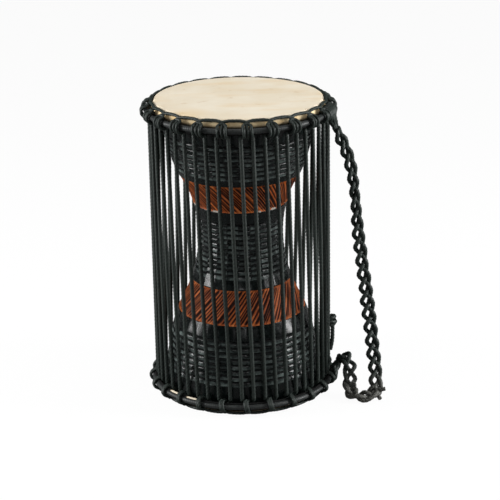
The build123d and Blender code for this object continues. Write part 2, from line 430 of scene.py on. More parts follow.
class Rawhide(Finish):
    """Scraped rawhide: pale cream where it is stretched, tan where it is folded round the hoop."""

    name = "rawhide"
    cream: Color = (0.76, 0.66, 0.50)
    ivory: Color = (0.84, 0.77, 0.64)
    tan: Color = (0.58, 0.40, 0.19)
    honey: Color = (0.82, 0.68, 0.44)
    fleck: Color = (0.58, 0.42, 0.24)
    amber: Color = (0.74, 0.54, 0.28)
    # Black of the stain on the lap, and of the painted shadow between the top hoop and the skin.
    stain: Color = (0.010, 0.010, 0.010)
    blotches = (16.0, 160.0)
    roughness = (0.75, 0.9)
    specular = 0.05
    relief = (0.12, 0.0004)
    fleck_scale: float = 75.0
    flecks: Span = (0.64, 0.76, 0.0, 0.4)
    streak_scale: float = 42.0
    streak_squash: Point = (0.35, 1.0, 1.0)
    streaks: Span = (0.5, 0.72, 0.0, 0.45)
    oil_patch: Point = (-0.050, -0.070, 0.308)
    oil_fade: Span = (0.008, 0.032, 0.9, 0.0)

    def dress(self, nodes: NodeTree) -> tuple[Socket, Socket, Socket]:
        """Mottle the flat and the fold, with flecks, streaks and a patch of oil.

        Args:
            nodes: the material's tree.

        Returns:
            Colour, roughness and height of the surface.
        """
        broad, fine = self.mottle(nodes)
        place = nodes.place()
        flat = nodes.blend(broad, self.cream, self.ivory)
        dots = nodes.noise(place, self.fleck_scale, 2.0)
        flat = nodes.blend(nodes.span(dots, *self.flecks), flat, self.fleck)
        drawn = nodes.vector("MULTIPLY", place, self.streak_squash)
        lines = nodes.noise(drawn, self.streak_scale, 3.0)
        flat = nodes.blend(nodes.span(lines, *self.streaks), flat, self.amber)
        near = nodes.span(nodes.distance(place, self.oil_patch), *self.oil_fade)
        flat = nodes.blend(nodes.math("MULTIPLY", near, broad), flat, self.amber)
        fold = nodes.blend(fine, self.tan, self.honey)
        color = nodes.blend(nodes.attribute("fold"), flat, fold)
        # Black where the lap is stained, and painted shadow on the top flare next to the hoop.
        color = nodes.blend(nodes.attribute("stain"), color, self.stain)
        return color, self.roughen(nodes, fine), fine


class BlackCord(Finish):
    """Twisted black cord, a little dusty, with fibres along each strand and painted shade in the lay
    between strands.
    """

    name = "black_cord"
    dark: Color = (0.002, 0.0028, 0.0025)
    dusty: Color = (0.0285, 0.039, 0.034)
    blotches = (60.0, 900.0)
    roughness = (0.4, 0.55)
    specular = 0.25
    relief = (0.35, 0.0003)
    lay_shade: Span = (-1.0, 1.0, 0.5, 1.0)
    dust_flecks: Span = (0.0, 1.0, 0.45, 1.0)

    def dress(self, nodes: NodeTree) -> tuple[Socket, Socket, Socket]:
        """Paint shade into the lay between strands, and raise fibres with a bump.

        Args:
            nodes: the material's tree.

        Returns:
            Colour, roughness and height of the surface.
        """
        broad, fine = self.mottle(nodes)
        # Painted shade: the lay between strands gets half the dust that the crests get.
        crest_highlight = nodes.span(nodes.attribute("lobe"), *self.lay_shade)
        dust_and_lay_shade = nodes.math("MULTIPLY", crest_highlight, nodes.span(fine, *self.dust_flecks))
        color = self.weather(nodes, nodes.blend(dust_and_lay_shade, self.dark, self.dusty), fine)
        return color, self.roughen(nodes, broad), fine

    def weather(self, nodes: NodeTree, color: Socket, fleck: Socket) -> Socket:
        """The cord's colour after wear, which the lacing hasn't had."""
        return color


class StrapCord(BlackCord):
    """The strap's cord, worn grey and fluffy where it lies on the floor."""

    name = "strap_cord"
    worn: Color = (0.125, 0.120, 0.108)
    worn_height: Span = (0.007, 0.03, 0.9, 0.0)
    worn_flecks: Span = (0.0, 1.0, 0.35, 1.0)

    def weather(self, nodes: NodeTree, color: Socket, fleck: Socket) -> Socket:
        """Grey the cord towards the floor, in flecks.

        Args:
            nodes: the material's tree.
            color: the clean cord's colour.
            fleck: fine blotches from 0 to 1.

        Returns:
            The worn colour.
        """
        low = nodes.span(nodes.height_of(nodes.place()), *self.worn_height)
        share = nodes.math("MULTIPLY", low, nodes.span(fleck, *self.worn_flecks))
        return nodes.blend(share, color, self.worn)


class HoopPaint(Finish):
    """Satin black paint on the hoops, rubbed in places."""

    name = "hoop_paint"
    black: Color = (0.006, 0.0075, 0.0075)
    lighter: Color = (0.030, 0.034, 0.033)
    blotches = (45.0, 380.0)
    roughness = (0.4, 0.58)
    specular = 0.32
    relief = (0.15, 0.0003)
    streaks: tuple[float, float] = (700.0, 0.6)

    def dress(self, nodes: NodeTree) -> tuple[Socket, Socket, Socket]:
        """Mottle the paint's colour and gloss.

        Args:
            nodes: the material's tree.

        Returns:
            Colour, roughness and height of the surface.
        """
        broad, fine = self.mottle(nodes)
        color = nodes.blend(broad, self.black, self.lighter)
        return color, self.roughen(nodes, fine), self.grain(nodes, *self.streaks)


WOOD = StainedWood()
SKIN = Rawhide()
CORD = BlackCord()
STRAP_CORD = StrapCord()
PAINT = HoopPaint()


def link(name: str, data: bpy.types.ID) -> bpy.types.Object:
    """Put an object with its data into the scene, at the origin.

    Args:
        name: the object's name.
        data: its mesh, curve, camera or lamp.

    Returns:
        The new object.
    """
    made = bpy.data.objects.new(name, data)
    bpy.context.scene.collection.objects.link(made)
    return made


def evaluated_mesh(curve: bpy.types.Object) -> Mesh:
    """Plain mesh of a curve object with its modifiers."""
    depsgraph = bpy.context.evaluated_depsgraph_get()
    return bpy.data.meshes.new_from_object(curve.evaluated_get(depsgraph), depsgraph=depsgraph)


def place_piece(name: str, mesh: Mesh, finish: Finish | None = None) -> Piece:
    """Link a mesh to the scene as an object at the origin.

    Args:
        name: the piece's name.
        mesh: the finished mesh, in metres.
        finish: the finish it gets, or None where its material and shading are already set.

    Returns:
        The new object.
    """
    piece = link(name, mesh)
    if finish is not None:
        mesh.materials.clear()
        mesh.materials.append(finish.material())
        mesh.shade_smooth()
    return piece


def grid_mesh(name: str, rings: Array, closed: bool, attributes: dict[str, Array]) -> Mesh:
    """Mesh of quads through rings of points about the axis.

    Args:
        name: the mesh's name.
        rings: points in millimetres, as rows by columns by three, with columns round the axis.
        closed: whether the last row joins the first. Otherwise each end row closes on a point.
        attributes: named values for each point, as rows by columns.

    Returns:
        The mesh, in metres, with outward faces.
    """
    rows, columns, _ = rings.shape
    points = (rings.reshape(-1, 3) * MM).tolist()
    index = np.arange(rows * columns).reshape(rows, columns)
    below = np.roll(index, -1, axis=0) if closed else index[1:]
    above = index if closed else index[:-1]
    corners = [above, np.roll(above, -1, axis=1), np.roll(below, -1, axis=1), below]
    faces = np.stack(corners, axis=-1).reshape(-1, 4).tolist()
    if not closed:
        for row, turn in ((0, 1), (rows - 1, -1)):
            pole = len(points)
            points.append((rings[row].mean(axis=0) * MM).tolist())
            ring = index[row][::turn]
            faces += [[int(b), int(a), pole] for a, b in zip(ring, np.roll(ring, -1))]
    mesh = bpy.data.meshes.new(name)
    mesh.from_pydata(points, [], faces)
    poles = np.zeros(len(points) - rows * columns)
    for key, values in attributes.items():
        data = np.concatenate([values.ravel(), poles]).astype(np.float32)
        mesh.attributes.new(key, "FLOAT", "POINT").data.foreach_set("value", data)
    mesh.update()
    return mesh


def lathe(section: Array, columns: int) -> Array:
    """Rings of points from a section of radii and heights, turned about the axis.

    Args:
        section: rows of radius and height, in millimetres.
        columns: points in each ring.

    Returns:
        Points as rows by columns by three.
    """
    angle = np.linspace(0, TURN, columns, endpoint=False)
    radius, z = section[:, :1], section[:, 1:]
    flat = np.broadcast_to(z, (len(section), columns))
    return np.stack([radius * np.cos(angle), radius * np.sin(angle), flat], axis=-1)


class Assembly:
    """What every sub-assembly shares: its pieces are tied to the frame."""

    @staticmethod
    def dress(piece: Piece, slot: Slot, *nodes: str, body: str | None = BODY) -> Piece:
        """Let a finished piece stand for its CAD nodes and ride on their body.

        Args:
            piece: the finished piece.
            slot: its material slot; not used.
            nodes: the CAD nodes that it stands for.
            body: the body that it rides on, or None where it rides on none.

        Returns:
            The same piece.
        """
        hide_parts(*nodes)
        if body is not None:
            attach(piece, body)
        return piece


class Carving(Enum):
    """What is cut into a band of the shell."""

    PLAIN = "plain"
    NOTCHED = "notched"
    SLASHED = "slashed"


@dataclass(frozen=True)
class Band:
    """One band of the shell, from its upper to its lower edge.

    Its count is of rings on a plain or slashed band and of courses on a notched one. Strokes are
    the flats round the shell, and chips how broken the upper and the lower edge are.
    """

    kind: Carving
    top: float
    bottom: float
    count: int
    strokes: int = 0
    lean: float = 0.0
    chips: tuple[float, float] = (0.0, 0.0)

    @property
    def drop(self) -> float:
        """Height of the band."""
        return self.top - self.bottom


class RingStack:
    """Rings of points that are cut one after another down the shell, with their attributes."""

    def __init__(self, columns: int) -> None:
        """Start without rings.

        Args:
            columns: points in each ring.
        """
        self.turn = np.arange(columns) * TURN / columns
        self.twist = 0.0
        self.rows: list[Array] = []
        # Attributes: groove depth, red band, chips, and the painted highlight on the notches' lips.
        self.values: dict[str, list] = {"groove": [], "red": [], "chip": [], "lip": []}

    def add(self, radius: object, z: object, **marks: object) -> None:
        """Add one ring.

        Args:
            radius: the ring's radius, or one for each point.
            z: its height, or one for each point.
            marks: the attributes that aren't zero on it.
        """
        angle = self.turn + self.twist
        level = np.broadcast_to(z, angle.shape)
        self.rows.append(np.stack([radius * np.cos(angle), radius * np.sin(angle), level], axis=-1))
        for key, value in self.values.items():
            value.append(np.broadcast_to(marks.get(key, 0.0), angle.shape))


@dataclass
class CarvedShell(Assembly):
    """The wooden hourglass, turned on the axis with its carving cut into the mesh.

    A notch's section is in shares of its course, of its depth, and of how much painted highlight its
    lip gets there. At its ends a slash has a share of its depth, and a rate at which it deepens.
    Chips have a share in each row in from the edge, and a gain and an offset on their noise.
    """

    waist_z: float = 168.0
    waist_radius: float = 43.6
    rim_radius: float = 84.4
    rim_chamfer: float = 1.7
    rim_wall: float = 8.0
    upper_arcs: Arcs = (115.0, 30.0, 120.0, 15.0)
    lower_arcs: Arcs = (150.0, 27.0, 170.0, 18.0)
    arc_points: tuple[int, int] = (40, 24)
    bore_line: tuple[tuple[float, float], ...] = (
        (66.0, 60.0), (50.0, 104.0), (31.0, 138.0), (31.0, 198.0), (50.5, 231.0), (61.5, 257.0),
    )
    columns: int = 384
    bands: tuple[Band, ...] = (
        Band(Carving.PLAIN, 305.4, 277.5, 9, 32),
        Band(Carving.NOTCHED, 277.5, 240.0, 7, 32),
        Band(Carving.PLAIN, 240.0, 232.5, 3, 32),
        Band(Carving.SLASHED, 232.5, 201.0, 22, lean=50.0, chips=(0.35, 1.0)),
        Band(Carving.PLAIN, 201.0, 187.6, 5, 24),
        Band(Carving.NOTCHED, 187.6, 129.7, 11, 24),
        Band(Carving.PLAIN, 129.7, 119.8, 4, 24),
        Band(Carving.SLASHED, 119.8, 87.0, 22, lean=-53.0, chips=(0.4, 0.3)),
        Band(Carving.PLAIN, 87.0, 72.5, 5, 32),
        Band(Carving.NOTCHED, 72.5, 27.5, 8, 32),
        Band(Carving.PLAIN, 27.5, 2.6, 8, 32),
    )
    notch_depth: float = 1.85
    notch_section: tuple[tuple[float, float, float], ...] = (
        (0.0, 0.10, 0.5), (0.04, 1.0, 0.0), (0.20, 1.0, 0.0),
        (0.31, 0.24, 0.1), (0.42, 0.05, 0.6), (0.96, -0.03, 1.0),
    )
    notch_squareness: int = 20
    notch_strength: tuple[float, float] = (0.7, 1.15)
    notch_shift: float = 0.3
    stroke_shift: float = 0.35
    # Only notches stronger than this get the painted highlight on their lips.
    lip_highlight_fade: float = 0.3
    slashes: int = 96
    slash_depth: float = 1.1
    slash_drift: tuple[tuple[int, float], ...] = ((13, 0.35), (29, 0.18))
    slash_strength: tuple[float, float] = (0.45, 1.25)
    slash_ends: tuple[float, float] = (0.2, 8.0)
    band_recess: float = 0.45
    edge_width: float = 0.3
    chip_reach: tuple[float, ...] = (1.0, 0.35)
    chip_on_edge: float = 0.8
    chip_length: int = 5
    chip_contrast: tuple[float, float] = (1.8, 0.2)

    def __post_init__(self) -> None:
        """Work out the outline, and start without rings."""
        self.heights, self.radii = self.outline()
        self.stack = RingStack(self.columns)
        self.draw = np.random.default_rng(SEED)

    def outline(self) -> tuple[Array, Array]:
        """Outside of the hourglass without its carving.

        Returns:
            Heights and radii along it, from the lower rim to the upper.
        """
        high, low = SIZES.height - SIZES.skin - self.rim_chamfer, SIZES.skin + self.rim_chamfer
        up_z, up_r = self.half_outline(1, self.upper_arcs, high)
        down_z, down_r = self.half_outline(-1, self.lower_arcs, low)
        return np.concatenate([down_z[::-1], up_z[1:]]), np.concatenate([down_r[::-1], up_r[1:]])

    def half_outline(self, way: int, arcs: Arcs, rim: float) -> tuple[Array, Array]:
        """Outside from the waist to one rim: a hollow arc, a rounded arc and a straight end.

        Args:
            way: 1 for the upper half and -1 for the lower.
            arcs: radius and turn of the waist's arc and of the bowl's.
            rim: the rim's height.

        Returns:
            Heights and radii along it.
        """
        waist_arc, waist_turn, bowl_arc, bowl_turn = arcs
        lean = np.radians(np.linspace(0, waist_turn, self.arc_points[0]))
        radius = self.waist_radius + waist_arc * (1 - np.cos(lean))
        rise = waist_arc * np.sin(lean)
        steepest = lean[-1]
        lean = np.radians(np.linspace(waist_turn, waist_turn - bowl_turn, self.arc_points[1]))[1:]
        bowl_radius = radius[-1] + bowl_arc * (np.cos(lean) - np.cos(steepest))
        bowl_rise = rise[-1] + bowl_arc * (np.sin(steepest) - np.sin(lean))
        z = self.waist_z + way * np.concatenate([rise, bowl_rise])
        return np.append(z, rim), np.concatenate([radius, bowl_radius, [self.rim_radius]])

    def radius_at(self, z: object) -> object:
        """Radius of the outline at a height, or at several."""
        return np.interp(z, self.heights, self.radii)

    def flats(self, band: Band) -> tuple[Array, Array, Array]:
        """Strokes of the adze round a plain or notched band.

        Args:
            band: the band.

        Returns:
            For each column its stroke's number, its place across the stroke from -1 to 1, and the
            factor that draws the radius in to a flat.
        """
        column = np.arange(self.columns)
        width = self.columns // band.strokes
        across = ((column % width) + 0.5) / width * 2 - 1
        half = math.pi / band.strokes
        return column // width, across, math.cos(half) / np.cos(across * half)

    def cut_plain(self, band: Band) -> None:
        """Cut a band of plain flats.

        Args:
            band: the band.
        """
        _, _, flat = self.flats(band)
        for share in (np.arange(band.count) + 0.5) / band.count:
            z = band.top - share * band.drop
            self.stack.add(self.radius_at(z) * flat, z)

    def cut_notched(self, band: Band) -> None:
        """Cut a band of courses of notches, one notch a stroke.

        Args:
            band: the band.
        """
        stroke, across, flat = self.flats(band)
        scoop = 1 - across**self.notch_squareness
        stroke_shift = self.draw.normal(0, self.stroke_shift, band.strokes)
        for notch in range(band.count):
            strength = self.draw.uniform(*self.notch_strength, band.strokes)[stroke]
            shift = stroke_shift + self.draw.normal(0, self.notch_shift, band.strokes)
            for share, groove, lip in self.notch_section:
                z = band.top - (notch + share) * band.drop / band.count + shift[stroke] * scoop
                depth = self.notch_depth * groove * scoop * strength
                # How much painted highlight the lip gets, more on the stronger notches.
                lighter = lip * scoop * (strength - self.lip_highlight_fade)
                marks = {"groove": np.clip(groove * scoop, 0, 1), "lip": lighter}
                self.stack.add(self.radius_at(z) * flat - depth, z, **marks)

    def cut_slashed(self, band: Band) -> None:
        """Cut a sunk red band of leaning slashes, with chips along its edges.

        Args:
            band: the band.
        """
        stack = self.stack
        slash = stack.turn * self.slashes / TURN
        for waves, sway in self.slash_drift:
            slash = slash + sway * np.sin(waves * stack.turn + self.draw.uniform(0, TURN))
        strength = self.draw.uniform(*self.slash_strength, self.slashes)
        ridge = np.abs(slash % 1 * 2 - 1)
        cutting = ridge * strength[np.floor(slash).astype(int) % self.slashes]
        slope = 1 / math.tan(math.radians(band.lean))
        upper, lower = (self.ragged() * share for share in band.chips)
        stack.add(self.radius_at(band.top), band.top, chip=upper * self.chip_on_edge)
        shallow, steepness = self.slash_ends
        before = band.top
        margin = self.edge_width / band.drop
        for number, share in enumerate(np.linspace(margin, 1 - margin, band.count)):
            z = band.top - share * band.drop
            stack.twist += slope * (before - z) / float(self.radius_at(z))
            before = z
            rows_in = min(number, band.count - 1 - number)
            fade = self.chip_reach[rows_in] if rows_in < len(self.chip_reach) else 0.0
            deep = cutting * min(1.0, steepness * min(share, 1 - share) + shallow)
            marks = {"groove": deep, "red": 1.0, "chip": (upper if share < 0.5 else lower) * fade}
            stack.add(self.radius_at(z) - (self.band_recess + self.slash_depth * deep), z, **marks)
        stack.add(self.radius_at(band.bottom), band.bottom, chip=lower * self.chip_on_edge)

    def ragged(self) -> Array:
        """Chips along one edge of a band.

        Returns:
            Their strength from point to point round the shell, from 0 to 1.
        """
        noise = np.tile(self.draw.normal(0, 1, self.columns), 3)
        near = np.convolve(noise, np.ones(self.chip_length) / self.chip_length, "same")
        gain, offset = self.chip_contrast
        return np.clip(near[self.columns:2 * self.columns] * gain - offset, 0, 1)

    def build(self) -> Piece:
        """Cut the bands, ring by ring, and close the mesh through the bore.

        Returns:
            The shell, standing for its CAD node.
        """
        cutters = {
            Carving.PLAIN: self.cut_plain,
            Carving.NOTCHED: self.cut_notched,
            Carving.SLASHED: self.cut_slashed,
        }
        for band in self.bands:
            cutters[band.kind](band)
        low, high = SIZES.skin, SIZES.height - SIZES.skin
        inner, face = self.rim_radius - self.rim_wall, self.rim_radius - self.rim_chamfer
        rim = (self.rim_radius, high - self.rim_chamfer)
        bore = [(face, low), (inner, low), *self.bore_line, (inner, high), (face, high), rim]
        for radius, z in bore:
            self.stack.add(radius, z)
        values = {key: np.array(value)[::-1] for key, value in self.stack.values.items()}
        mesh = grid_mesh("carved_shell", np.array(self.stack.rows)[::-1], True, values)
        return self.dress(place_piece("carved_shell", mesh, WOOD), Slot.WOOD, "shell")


@dataclass
class Head(Assembly):
    """A skin, stretched over the rim, flared behind the hoop and folded under it.

    The lower skin's stain is missing at the bare angles. Depths are measured in from the head.
    Where the pucker and the fold start or stop is a depth, and a length over which they change.
    """

    end: End
    shoulder: float = 1.75
    shoulder_points: int = 7
    flare_depth: float = 4.0
    flare_foot: tuple[float, float] = (90.22, 13.95)
    flare_points: int = 10
    fold_turn: tuple[tuple[float, float], ...] = ((-0.15, -0.4), (0.4, 0.0))
    lip_radius: float = 92.8
    flat_rings: tuple[float, ...] = (6.0, 16.0, 28.0, 40.0, 52.0, 63.0, 72.0, 78.0, 81.5)
    columns: int = 240
    hitch_ripple: float = 0.12
    fine_ripple: tuple[float, int] = (0.08, 61)
    loose_ripple: float = 0.03
    ripple_gain: float = 1.2
    pucker_from: tuple[float, float] = (3.0, 4.0)
    pucker_to: tuple[float, float] = (13.0, 2.0)
    fold_from: tuple[float, float] = (2.4, 1.8)
    # Where the black begins: stain on the lap, and at the top also painted shadow between the hoop
    # and the skin.
    stain_and_shadow_depth: Pair = Pair(6.4, 1.6)
    stain_and_shadow_fade: float = 1.6
    bare_angles: tuple[float, ...] = (-139.5, -124.5)
    bare_half_width: float = 3.6
    bare_fade: float = 0.8
    bare_below: float = 12.0

    def section(self) -> Array:
        """Section of the skin, down its outer side and back up its inner side.

        Returns:
            Rows of radius and depth.
        """
        half = SIZES.skin / 2
        skirt = SIZES.head_radius - half
        foot, foot_depth = self.flare_foot
        line = [(radius, half) for radius in self.flat_rings]
        for step in np.radians(np.linspace(0, 90, self.shoulder_points)):
            inward, down = 1 - math.sin(step), 1 - math.cos(step)
            line.append((skirt - self.shoulder * inward, half + self.shoulder * down))
        for share in np.linspace(0.0, 0.9, self.flare_points):
            down = (foot_depth - self.flare_depth) * share
            line.append((skirt + (foot - skirt) * share, self.flare_depth + down))
        line += [(foot + out, foot_depth + down) for out, down in self.fold_turn]
        middle = np.array([*line, (self.lip_radius, foot_depth)])
        along = np.gradient(middle, axis=0)
        normal = np.stack([along[:, 1], -along[:, 0]], axis=-1)
        normal /= np.linalg.norm(normal, axis=1, keepdims=True)
        return np.concatenate([middle + normal * half, (middle - normal * half)[::-1]])

    def pucker(self, depth: Array, angle: Array) -> Array:
        """How the flare is drawn in between the hitches.

        Args:
            depth: depths of the section's points.
            angle: angles of the columns, in degrees.

        Returns:
            Factors on the radius, as rows by columns.
        """
        draw = np.random.default_rng(SEED + 1)
        hitches = np.radians((angle - SIZES.hitch_angle(self.end)) * SIZES.hitch_count)
        fine, waves = self.fine_ripple
        ripple = self.hitch_ripple * np.cos(hitches) + fine * np.sin(np.radians(angle * waves))
        ripple = ripple + draw.normal(0, self.loose_ripple, self.columns)
        (start, rise), (stop, fall) = self.pucker_from, self.pucker_to
        skirt = np.clip((depth - start) / rise, 0, 1) * np.clip((stop - depth) / fall, 0, 1)
        return 1 - skirt[:, None] * (np.abs(ripple) * self.ripple_gain) / SIZES.head_radius

    def marks(self, depth: Array, angle: Array) -> dict[str, Array]:
        """Where the skin is folded, and where it is black with stain and, on the top flare, with
        painted shadow.

        Args:
            depth: depths of the section's points.
            angle: angles of the columns, in degrees.

        Returns:
            The two attributes, as rows by columns.
        """
        around = np.ones(self.columns)
        start, fade = self.fold_from
        fold = np.clip((depth - start) / fade, 0, 1)[:, None] * around
        # Black below that depth: stain, and on the top flare painted shadow.
        stained_and_shaded = (depth - self.stain_and_shadow_depth.at(self.end)) / self.stain_and_shadow_fade
        stain = np.clip(stained_and_shaded, 0, 1)[:, None] * around
        if self.end is End.BOTTOM:
            low = depth[:, None] > self.bare_below
            for bare in self.bare_angles:
                away = np.abs((angle - bare + 180) % 360 - 180)
                kept = np.clip((away - self.bare_half_width) / self.bare_fade, 0, 1)
                stain = np.where(low, stain * kept, stain)
                fold = np.where(low, fold * kept, fold)
        return {"fold": fold, "stain": stain}

    def build(self) -> Piece:
        """Turn the skin, pucker its flare between the hitches and close it.

        Returns:
            The head, standing for its CAD node.
        """
        section = self.section()
        depth = section[:, 1].copy()
        section[:, 1] = [SIZES.level(self.end, d) for d in depth]
        rings = lathe(section, self.columns)
        angle = np.degrees(np.linspace(0, TURN, self.columns, endpoint=False))
        rings[:, :, :2] *= self.pucker(depth, angle)[:, :, None]
        way = -1 if self.end is End.TOP else 1
        values = {key: value[::way] for key, value in self.marks(depth, angle).items()}
        name = f"{self.end.value}_skin"
        head = place_piece(name, grid_mesh(name, rings[::way], False, values), SKIN)
        return self.dress(head, Slot.SKIN, f"{self.end.value}_head")


@dataclass
class Hoop(Assembly):
    """A round ring, bound with fine cord, that holds the folded edge of a skin."""

    end: End
    ribs: int = 248
    columns_per_rib: int = 4
    sides: int = 16
    rib_height: float = 0.11
    unevenness: float = 0.05
    waves: tuple[int, ...] = (7, 13, 29)
    phases: float = 6.28

    def build(self) -> Piece:
        """Bend the ring's wire round the axis.

        Returns:
            The hoop, standing for its CAD node.
        """
        draw = np.random.default_rng(SEED + 2)
        around = np.linspace(0, TURN, self.sides, endpoint=False)
        angle = np.linspace(0, TURN, self.ribs * self.columns_per_rib, endpoint=False)
        rib = self.rib_height * np.cos(self.ribs * angle[None, :] + around[:, None])
        wire = SIZES.hoop_radius - self.unevenness - self.rib_height + rib
        reach = SIZES.hoop_circle + wire * np.cos(around)[:, None]
        z = SIZES.level(self.end, SIZES.hoop_depth) + wire * np.sin(around)[:, None]
        rings = np.stack([reach * np.cos(angle), reach * np.sin(angle), z], axis=-1)
        sways = [np.sin(angle * waves + draw.uniform(0, self.phases)) for waves in self.waves]
        wobble = sum(self.unevenness / 2 * sway for sway in sways)
        rings[:, :, :2] *= (1 + wobble / SIZES.hoop_circle)[None, :, None]
        name = f"{self.end.value}_ring"
        hoop = place_piece(name, grid_mesh(name, rings[::-1], True, {}), PAINT)
        return self.dress(hoop, Slot.HOOP, f"{self.end.value}_hoop")


@dataclass(frozen=True)
class RopeLay:
    """How a rope is laid: its radius in millimetres, its lay and ring step in metres, its lobes."""

    radius: float
    lay: float
    lobe: float
    step: float

    def inputs(self) -> dict[str, float]:
        """What a rope tree needs of it, by the names of the inputs."""
        return dict(Radius=self.radius * MM, Lay=self.lay, Lobe=self.lobe, Step=self.step)


class RopeWalk:
    """Geometry Nodes trees that lay rope along paths."""

    ROPE_INPUTS: dict[str, tuple[str, object]] = {
        "Radius": ("Float", 0.0018),
        "Lay": ("Float", 0.012),
        "Lobe": ("Float", 0.14),
        "Step": ("Float", 0.0013),
    }
    STRANDS = 3
    SECTION_POINTS = 12
    # Over the plait's length: gathered at its ends, slacker on the way, and tight at one place.
    GATHERED: Span = (0.0, 0.035, 0.35, 1.0)
    SLACK: Span = (0.22, 0.5, 0.84, 1.06)
    TIGHT: Span = (0.02, 0.09, 0.78, 1.0)
    # Near the floor the plait turns its flat side up.
    LYING: Span = (0.008, 0.03, 4.0, 0.0)
    WOUND_JITTER = 40.0
    PLAIT_JITTER = 55.0

    def __init__(self) -> None:
        """Build the trees."""
        self.rope = self._rope_group()
        self.single = self._single_tree()
        self.wound = self._wound_tree()
        self.plait = self._plait_tree()

    def _open(self, name: str, extra: dict[str, tuple[str, object]]) -> tuple[NodeTree, object]:
        """Start a tree with its named inputs and its geometry output.

        Args:
            name: the tree's name.
            extra: inputs beside the path and the rope's own, each with its type and default.

        Returns:
            The tree, and its inputs by name.
        """
        tree = bpy.data.node_groups.new(name, "GeometryNodeTree")
        tree.interface.new_socket("Path", in_out="INPUT", socket_type="NodeSocketGeometry")
        for key, (kind, value) in {**self.ROPE_INPUTS, **extra}.items():
            kind = f"NodeSocket{kind}"
            socket = tree.interface.new_socket(key, in_out="INPUT", socket_type=kind)
            if value is not None:
                socket.default_value = value
        tree.interface.new_socket("Geometry", in_out="OUTPUT", socket_type="NodeSocketGeometry")
        nodes = NodeTree(tree)
        return nodes, nodes.add("NodeGroupInput").outputs

    @staticmethod
    def _even(nodes: NodeTree, entry: object) -> Socket:
        """The path with points at even steps."""
        inputs = {"Curve": entry["Path"], "Length": entry["Step"]}
        return nodes.geometry("ResampleCurve", inputs, mode="LENGTH")

    @staticmethod
    def _jitter(nodes: NodeTree, place: Socket, scale: float, amount: Socket) -> Socket:
        """Offset that changes softly from place to place.

        Args:
            nodes: the tree.
            place: where each point is.
            scale: how fast the offset changes.
            amount: how large it is.

        Returns:
            The offset.
        """
        noise = nodes.add("ShaderNodeTexNoise", {"Vector": place, "Scale": scale, "Detail": 1.0})
        centred = nodes.vector("SUBTRACT", noise.outputs["Color"], (0.5, 0.5, 0.5))
        return nodes.scaled(centred, amount)

    def _rope_group(self) -> Tree:
        """Rope of three strands along every spline, as one lobed tube that turns with the lay.

        Returns:
            The tree, which the others end in.
        """
        nodes, entry = self._open("lay_rope", {})
        length = nodes.add("GeometryNodeSplineParameter").outputs["Length"]
        tilt = nodes.math("MULTIPLY", nodes.math("DIVIDE", length, entry["Lay"]), TURN)
        turned = nodes.geometry("SetCurveTilt", {"Curve": self._even(nodes, entry), "Tilt": tilt})
        inputs = {"Resolution": self.SECTION_POINTS, "Radius": 1.0}
        circle = nodes.geometry("CurvePrimitiveCircle", inputs)
        position = nodes.geometry("InputPosition")
        split = nodes.add("ShaderNodeSeparateXYZ", {0: position}).outputs
        angle = nodes.math("ARCTAN2", split[1], split[0])
        lobe = nodes.math("COSINE", nodes.math("MULTIPLY", angle, float(self.STRANDS)))
        inputs = {"Geometry": circle, "Name": "lobe", "Value": lobe}
        named = nodes.geometry("StoreNamedAttribute", inputs, data_type="FLOAT", domain="POINT")
        hollow = nodes.math("MULTIPLY", entry["Lobe"], nodes.math("SUBTRACT", 1.0, lobe))
        reach = nodes.math("MULTIPLY", nodes.math("SUBTRACT", 1.0, hollow), entry["Radius"])
        inputs = {"Geometry": named, "Position": nodes.scaled(position, reach)}
        section = nodes.geometry("SetPosition", inputs)
        inputs = {"Curve": turned, "Profile Curve": section, "Fill Caps": True}
        smooth = nodes.geometry("SetShadeSmooth", {0: nodes.geometry("CurveToMesh", inputs)})
        nodes.add("NodeGroupOutput", {0: smooth})
        return nodes.tree

    def _laid(self, nodes: NodeTree, entry: object, path: Socket) -> Tree:
        """End a tree: lay rope on the path, make it real and give it its finish.

        Args:
            nodes: the tree.
            entry: its inputs.
            path: the splines that get rope.

        Returns:
            The finished tree.
        """
        inputs = {"Path": path, **{name: entry[name] for name in self.ROPE_INPUTS}}
        rope = nodes.geometry("Group", inputs, node_tree=self.rope)
        real = nodes.geometry("RealizeInstances", {0: rope})
        inputs = {"Geometry": real, "Material": entry["Finish"]}
        nodes.add("NodeGroupOutput", {0: nodes.geometry("SetMaterial", inputs)})
        return nodes.tree

    def _single_tree(self) -> Tree:
        """Rope along the paths as they are."""
        nodes, entry = self._open("rope_along_path", {"Finish": ("Material", None)})
        return self._laid(nodes, entry, entry["Path"])

    def _wound_tree(self) -> Tree:
        """Rope along copies of the path, set about the drum's axis and a little unlike each other.

        Returns:
            The tree.
        """
        extra = {
            "Count": ("Int", 24),
            "First angle": ("Float", 0.0),
            "Unevenness": ("Float", 0.0),
            "Finish": ("Material", None),
        }
        nodes, entry = self._open("rope_round_hoop", extra)
        points = nodes.geometry("Points", {"Count": entry["Count"]})
        step = nodes.math("DIVIDE", TURN, entry["Count"])
        turn = nodes.math("MULTIPLY", nodes.geometry("InputIndex"), step)
        angle = nodes.math("ADD", turn, entry["First angle"])
        rotation = nodes.add("ShaderNodeCombineXYZ", {2: angle}).outputs[0]
        inputs = {"Points": points, "Instance": entry["Path"], "Rotation": rotation}
        copies = nodes.geometry("RealizeInstances", {0: nodes.geometry("InstanceOnPoints", inputs)})
        place = nodes.geometry("InputPosition")
        jitter = self._jitter(nodes, place, self.WOUND_JITTER, entry["Unevenness"])
        uneven = nodes.geometry("SetPosition", {"Geometry": copies, "Offset": jitter})
        return self._laid(nodes, entry, uneven)

